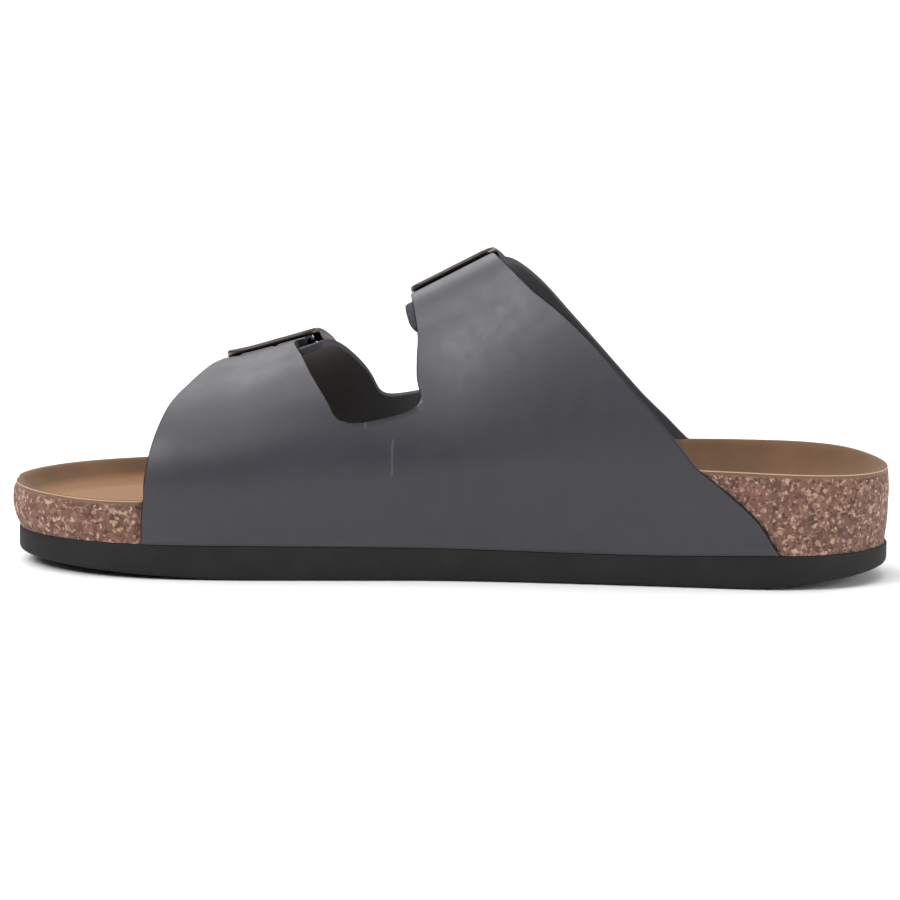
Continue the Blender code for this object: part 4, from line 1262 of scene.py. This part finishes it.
def strap_station(strap, share, girth, side, cut, notch):
    """Station at a share of the way across a strap; an inner strap narrows to its tongue."""
    within = notch_side(notch, girth)
    if strap == "rear":
        wide = mix(read(cut, "rear", girth), in_notch(cut, girth, within), share)
    else:
        wide = mix(in_notch(cut, girth, 1 - within), read(cut, "front", girth), share)
    if side == OUTER:
        return wide
    buckle = buckle_of(strap)
    across = buckle.tongue_shift + mix(-TONGUE_HALF_WIDTH, TONGUE_HALF_WIDTH, share)
    narrow = buckle.station + across / station_pace(buckle)
    from_pin = distance_at(buckle, girth) - buckle.pin_at
    return mix(wide, narrow, smooth((from_pin - SHOULDER_FROM) / SHOULDER_LENGTH))


def quarter_column(column, side, cut, notch):
    """Station, girth and height of a quarter's mesh corners, up one column from the sole."""
    strap, share = column
    if strap == "notch":
        corner = notch_corner(notch)[0]
        across = mix(corner, 1 - corner, share)
        girths = stops([0, notch_floor(notch, across)], (BODY_ROWS,))
        return [(in_notch(cut, girth, across), girth, 0.0) for girth in girths]
    buckle = buckle_of(strap)
    roundness = 1 - math.sqrt(max(0.0, 1 - abs(2 * share - 1) ** TIP_POWER))
    height = inner_height if side == INNER else outer_height
    rows = inner_stops if side == INNER else outer_stops
    return [(strap_station(strap, share, girth, side, cut, notch), girth, height(buckle, girth))
            for girth in rows(buckle, notch, roundness)]


SKIN = 0
BACK = 1
CUT_EDGE_AND_SHADE = 2


def inset_layer(mesh, faces, layer, thickness):
    """Sets the faces in by narrow ones of the same layer, and gives the narrow ones' corners."""
    narrow = bmesh.ops.inset_region(mesh, faces=faces, thickness=thickness, use_boundary=True)["faces"]
    for face in narrow:
        face.material_index = layer
    return {corner for face in narrow for corner in face.verts}


def soften_outline(mesh, layer, radius):
    """Rounds a layer's outline over the cut edge, with two rings of narrow faces."""
    faces = [face for face in mesh.faces if face.material_index == layer]
    rim = {corner for face in faces for corner in face.verts
           if any(face.material_index == CUT_EDGE_AND_SHADE for face in corner.link_faces)}
    mesh.normal_update()
    sinks = []
    for corner in rim:
        own = [face.normal for face in corner.link_faces if face.material_index == layer]
        sinks.append((corner, -sum(own, Vector()).normalized(), 1.0))
    ring = inset_layer(mesh, faces, layer, radius * OUTER_STEP) - rim
    mesh.normal_update()
    ring_sink = 1 - math.sqrt(1 - INNER_STEP ** 2)
    sinks += [(corner, -corner.normal, ring_sink) for corner in ring]
    inset_layer(mesh, faces, layer, radius * INNER_STEP)
    for corner, way, share in sinks:
        above_sole = corner.co.z - sole_top(MIDDLE_STATION - corner.co.y) - SOLE_SEAM
        corner.co += way * radius * share * smooth(above_sole / BOTTOM_TURN)


def quarter(name, side, cut, notch, finishes):
    """One side of the upper: its body and two straps, as outer face, back and cut edge."""
    mesh = bmesh.new()
    corners = {}
    for n, column in enumerate(quarter_columns()):
        for row, (station, girth, height) in enumerate(quarter_column(column, side, cut, notch)):
            point, outward = arch_frame(side, station, girth)
            skin = mesh.verts.new(point + outward * height)
            back = mesh.verts.new(point + outward * (height - LEATHER))
            corners[n, row] = (skin, back)
    for n, row in list(corners):
        around = [(n, row), (n + 1, row), (n + 1, row + 1), (n, row + 1)]
        if all(spot in corners for spot in around):
            mesh.faces.new([corners[spot][0] for spot in around]).material_index = SKIN
            mesh.faces.new([corners[spot][1] for spot in around[::-1]]).material_index = BACK
    back_of = {skin: back for skin, back in corners.values()}
    rims = [piece for piece in mesh.edges if piece.is_boundary and piece.verts[0] in back_of]
    for rim in rims:
        a, b = rim.verts
        mesh.faces.new((a, b, back_of[b], back_of[a])).material_index = CUT_EDGE_AND_SHADE
    weld(mesh)
    soften_outline(mesh, SKIN, SKIN_ROUNDING)
    soften_outline(mesh, BACK, BACK_ROUNDING)
    return new_piece(name, mesh, finishes)


def hole_cutter(buckle, number):
    """The rod that punches one of the holes down the middle of a tongue."""
    down = HOLE_FIRST + number * HOLE_PITCH
    skin_height = inner_height(buckle, girth_at(buckle, buckle.pin_at + down))
    low, high, far = (on_strap(buckle, buckle.tongue_shift, down, height)
                      for height in (0.0, skin_height, 1.0))
    axis = (far - low).normalized()
    turn = axis.to_track_quat("Z", "Y").to_matrix().to_4x4()
    radius = PRONG_HOLE_RADIUS if number == PRONG_HOLE else HOLE_RADIUS
    mesh = bmesh.new()
    bmesh.ops.create_cone(mesh, cap_ends=True, segments=HOLE_POINTS, radius1=radius, radius2=radius,
                          depth=HOLE_CUTTER_LENGTH,
                          matrix=Matrix.Translation(high - axis * LEATHER / 2) @ turn)
    return new_piece(f"hole_{buckle.name}_{number}", mesh, [])


def upper():
    finishes = [strap_leather(), leather_back(), cut_edge_and_shade_leather()]
    inner = quarter("inner_quarter", INNER, INNER_CUT, INNER_NOTCH, finishes)
    cut_away(inner, [hole_cutter(buckle, number) for buckle in BUCKLES for number in range(HOLE_COUNT)])
    dress(inner, "strap_leather", "upper_inner_quarter")
    outer = quarter("outer_quarter", OUTER, OUTER_CUT, OUTER_NOTCH, finishes)
    # Painted shade: where the outer quarter's tucked end reaches the inner side, under the buckle, it
    # takes the dark cut-edge finish.
    for face in outer.data.polygons:
        if face.center.x > TUCK_SHADE_FROM:
            face.material_index = CUT_EDGE_AND_SHADE
    dress(outer, "strap_leather", "upper_outer_quarter")


# The buckles.
def rounded_rectangle(half_length, half_span, radius):
    """Points round a rectangle with round corners, the same number for any size."""
    def on_corner(corner, quarters):
        sx, sy = CORNER_SIGNS[corner % len(CORNER_SIGNS)]
        middle = Vector((sx * (half_length - radius), sy * (half_span - radius)))
        angle = math.pi / 2 * quarters
        return middle + Vector((math.cos(angle), math.sin(angle))) * radius

    points = []
    for corner in range(len(CORNER_SIGNS)):
        points += [on_corner(corner, corner + i / FRAME_CORNER_STEPS)
                   for i in range(FRAME_CORNER_STEPS + 1)]
        start = points[-1]
        end = on_corner(corner + 1, corner + 1)
        for i in range(1, FRAME_SIDE_STEPS):
            points.append(start.lerp(end, i / FRAME_SIDE_STEPS))
    return points


def round_bar(mesh, path, radius):
    """A round bar with domed ends along a path."""
    rings = []
    turn = None
    for i, point in enumerate(path):
        ahead = path[min(i + 1, len(path) - 1)] - path[max(i - 1, 0)]
        if turn is None:
            turn = ahead.to_track_quat("Z", "Y")
        else:
            turn = (turn @ Vector((0, 0, 1))).rotation_difference(ahead) @ turn
        rings.append((point, turn, radius))
    first, last = rings[0], rings[-1]
    nose = first[1] @ Vector((0, 0, -1))
    tail = last[1] @ Vector((0, 0, 1))
    before = [(first[0] + nose * radius * out, first[1], radius * size) for size, out in DOME[::-1]]
    after = [(last[0] + tail * radius * out, last[1], radius * size) for size, out in DOME]
    circles = []
    for point, turned, size in before + rings + after:
        circle = []
        for k in range(ROUND_BAR_POINTS):
            angle = math.tau * k / ROUND_BAR_POINTS
            circle.append(point + turned @ Vector((math.cos(angle), math.sin(angle), 0)) * size)
        circles.append(circle)
    corners = add_rings(mesh, circles)
    mesh.faces.new(corners[0][::-1])
    mesh.faces.new(corners[-1])
    return corners


def buckle_frame(buckle, finish):
    """A rounded rectangle of bar, bent to the foot, whose deep cheeks carry the pin."""
    outer = rounded_rectangle(FRAME_HALF_LENGTH, FRAME_HALF_SPAN, FRAME_OUTER_RADIUS)
    hole = rounded_rectangle(FRAME_HALF_LENGTH - FRAME_SIDE_BAR, FRAME_HALF_SPAN - FRAME_END_BAR,
                             FRAME_INNER_RADIUS)
    mesh = bmesh.new()
    worn = mesh.verts.layers.float.new("worn")
    rings = []
    wear_and_glint_rows = []
    for out, within in zip(outer, hole):
        on_end = smooth((abs(out.y) - FRAME_CHEEK_END) / FRAME_CHEEK_FADE)
        bottom = mix(FRAME_CHEEK_BOTTOM, FRAME_END_BOTTOM, on_end)
        # Painted reflection: towards the frame's ends, the outer side takes the copper colour.
        side_glint = smooth((abs(out.x) - FRAME_HALF_LENGTH) / FRAME_OUTER_RADIUS + 1) * FRAME_SIDE_GLINT
        wear_and_glint_rows.append([max(rail.worn, side_glint) if rail.share == 0 else rail.worn for rail in FRAME_SECTION]
                    + [rail.worn for rail in FRAME_FOOT])
        rails = [(rail.share, FRAME_TOP - rail.drop) for rail in FRAME_SECTION]
        rails += [(rail.share, bottom + rail.drop) for rail in FRAME_FOOT]
        rings.append([on_strap(buckle, *out.lerp(within, share), height) for share, height in rails])
    corners = add_rings(mesh, rings + rings[:1])
    for ring, amounts in zip(corners, wear_and_glint_rows + wear_and_glint_rows[:1]):
        for corner, amount in zip(ring, amounts):
            corner[worn] = amount
    weld(mesh)
    half_pin = FRAME_HALF_LENGTH - FRAME_SIDE_BAR / 2
    path = [on_strap(buckle, mix(-half_pin, half_pin, i / (PIN_POINTS - 1)), 0.0, PIN_HEIGHT)
            for i in range(PIN_POINTS)]
    round_bar(mesh, path, PIN_RADIUS)
    bmesh.ops.recalc_face_normals(mesh, faces=mesh.faces)
    made = new_piece(f"bronze_frame_{buckle.name}", mesh, [finish])
    dress(made, "antique_bronze", f"buckle_frame_{buckle.name}")


def smooth_path(steps, count):
    """Points on a smooth curve through a path's steps."""
    points = []
    for i in range(len(steps) - 1):
        before = steps[max(i - 1, 0)]
        here, there = steps[i], steps[i + 1]
        after = steps[min(i + 2, len(steps) - 1)]
        for k in range(count):
            u = k / count
            values = []
            for a, b, c, d in zip(before, here, there, after):
                bend = (2 * a - 5 * b + 4 * c - d) * u * u + (3 * b - 3 * c + d - a) * u ** 3
                values.append(0.5 * (2 * b + (c - a) * u + bend))
            points.append(Step(*values))
    return points + [steps[-1]]


def buckle_prong(buckle, finish):
    """The prong, through the tongue's hole and up against the frame's near bar."""
    mesh = bmesh.new()
    worn = mesh.verts.layers.float.new("worn")
    path = [on_strap(buckle, buckle.tongue_shift, step.down, step.height)
            for step in smooth_path(PRONG_PATH, PRONG_BEND_STEPS)]
    for ring in round_bar(mesh, path, PRONG_RADIUS):
        for corner in ring:
            corner[worn] = PRONG_WEAR
    bmesh.ops.recalc_face_normals(mesh, faces=mesh.faces)
    made = new_piece(f"bronze_prong_{buckle.name}", mesh, [finish])
    dress(made, "antique_bronze", f"buckle_prong_{buckle.name}")


def seam(name, points, thread):
    """A row of stitches along points."""
    curve = bpy.data.curves.new(name, "CURVE")
    curve.dimensions = "3D"
    line = curve.splines.new("POLY")
    line.points.add(len(points) - 1)
    for spot, point in zip(line.points, points):
        spot.co = (*point, 1.0)
    start = link(bpy.data.objects.new(name, curve))
    made = run_tree(start, stitch_tree(), {"Pitch": STITCH_PITCH, "Length": STITCH_LENGTH,
                                           "Radius": THREAD_RADIUS, "Finish": thread})
    made.data.shade_smooth()
    dress(made, "strap_leather")


def buckle_loop(buckle, leather, thread):
    """A leather tab on the outer quarter that cradles the pin, sewn down behind it."""
    rings = []
    for i in range(LOOP_STATIONS):
        along = mix(-LOOP_HALF_WIDTH, LOOP_HALF_WIDTH, i / (LOOP_STATIONS - 1)) + buckle.tongue_shift
        rings.append([on_strap(buckle, along, step.down, step.height) for step in LOOP_SECTION])
    mesh = bmesh.new()
    corners = add_rings(mesh, rings)
    mesh.faces.new(corners[0])
    mesh.faces.new(corners[-1])
    bmesh.ops.recalc_face_normals(mesh, faces=mesh.faces)
    made = new_piece(f"pin_loop_{buckle.name}", mesh, [leather])
    dress(made, "strap_leather", f"buckle_loop_{buckle.name}")
    reach = LOOP_HALF_WIDTH - STITCH_PITCH / 2
    points = [on_strap(buckle, mix(-reach, reach, i / (LOOP_STATIONS - 1)) + buckle.tongue_shift,
                       LOOP_STITCH_DOWN, LOOP_STITCH_HEIGHT) for i in range(LOOP_STATIONS)]
    seam(f"loop_stitches_{buckle.name}", points, thread)


# The studio.
def camera():
    data = bpy.data.cameras.new("photo_camera")
    data.sensor_width = SENSOR
    data.lens = CAMERA_LENS
    data.clip_start = CLIP_NEAR
    data.clip_end = CLIP_FAR
    made = link(bpy.data.objects.new("photo_camera", data))
    back = CAMERA_RIGHT.cross(CAMERA_UP)
    turn = Matrix((CAMERA_RIGHT, CAMERA_UP, back)).transposed().to_4x4()
    made.matrix_world = Matrix.Translation(CAMERA_AT) @ turn
    bpy.context.scene.camera = made


# Soft boxes: place, what each points at, width, height and power.
Light = namedtuple("Light", "name at aim width height power")
LIGHTS = [
    Light("overhead", (0.0, 0.0, 1.5), (0.0, 0.0, 0.0), 1.2, 1.2, 12.8),
    Light("long_toe_side", (0.2, -1.2, 1.3), (0.2, 0.0, 0.04), 3.0, 0.9, 15.2),
    Light("toe_front", (1.0, -0.9, 1.1), (0.0, 0.0, 0.04), 0.7, 0.7, 13.4),
    Light("high_front", (1.3, -0.2, 0.95), (0.0, 0.0, 0.04), 0.6, 0.5, 3.3),
    Light("heel_side", (0.2, 1.6, 0.5), (0.0, 0.0, 0.04), 1.2, 0.8, 14.5),
    Light("toe_back", (-0.8, -0.8, 1.2), (0.0, 0.0, 0.04), 0.8, 0.8, 6.0),
    Light("heel_back", (-0.8, 0.9, 1.2), (0.0, 0.0, 0.04), 0.8, 0.8, 4.3),
    Light("far_floor", (-3.6, 0.0, 1.4), (-3.6, 0.0, 0.0), 4.6, 7.0, 140.0),
]
SKY_COLOUR = (1.0, 1.0, 1.0, 1.0)
SKY_STRENGTH = 0.11
FLOOR_LOW = (0.88, 0.88, 0.88)
FLOOR_HIGH = (0.90, 0.90, 0.90)
FLOOR_CLOUDS = Noise(2.0)


def studio_floor():
    """A plain white floor."""
    mesh = bmesh.new()
    bmesh.ops.create_grid(mesh, x_segments=1, y_segments=1, size=FLOOR_SIZE / 2,
                          matrix=Matrix.Translation((0, 0, -FLOOR_DROP)))
    made, tree, shader, coords = new_finish("white_floor", {"Roughness": 0.9, "Specular IOR Level": 0.1})
    two_tone(tree, shader, noise_node(tree, coords, FLOOR_CLOUDS), FLOOR_LOW, FLOOR_HIGH)
    floor = new_piece("studio_floor", mesh, [made])


def lighting():
    """Large soft lights, and a weak even sky."""
    for light in LIGHTS:
        data = bpy.data.lights.new(light.name, "AREA")
        data.shape = "RECTANGLE"
        data.size = light.width
        data.size_y = light.height
        data.energy = light.power
        lamp = link(bpy.data.objects.new(light.name, data))
        lamp.location = light.at
        aim = Vector(light.at) - Vector(light.aim)
        lamp.rotation_mode = "QUATERNION"
        lamp.rotation_quaternion = aim.to_track_quat("Z", "Y")
    world = bpy.data.worlds.new("studio")
    world.use_nodes = True
    sky = world.node_tree.nodes["Background"]
    sky.inputs["Color"].default_value = SKY_COLOUR
    sky.inputs["Strength"].default_value = SKY_STRENGTH
    bpy.context.scene.world = world
    bpy.context.scene.view_settings.view_transform = "Standard"


def main():
    outsole()
    footbed()
    insole_lining()
    upper()
    bronze = antique_bronze()
    thread = seam_thread()
    loop_leather = strap_leather()
    for buckle in BUCKLES:
        buckle_frame(buckle, bronze)
        buckle_prong(buckle, bronze)
        buckle_loop(buckle, loop_leather, thread)
    studio_floor()
    lighting()
    camera()


main()
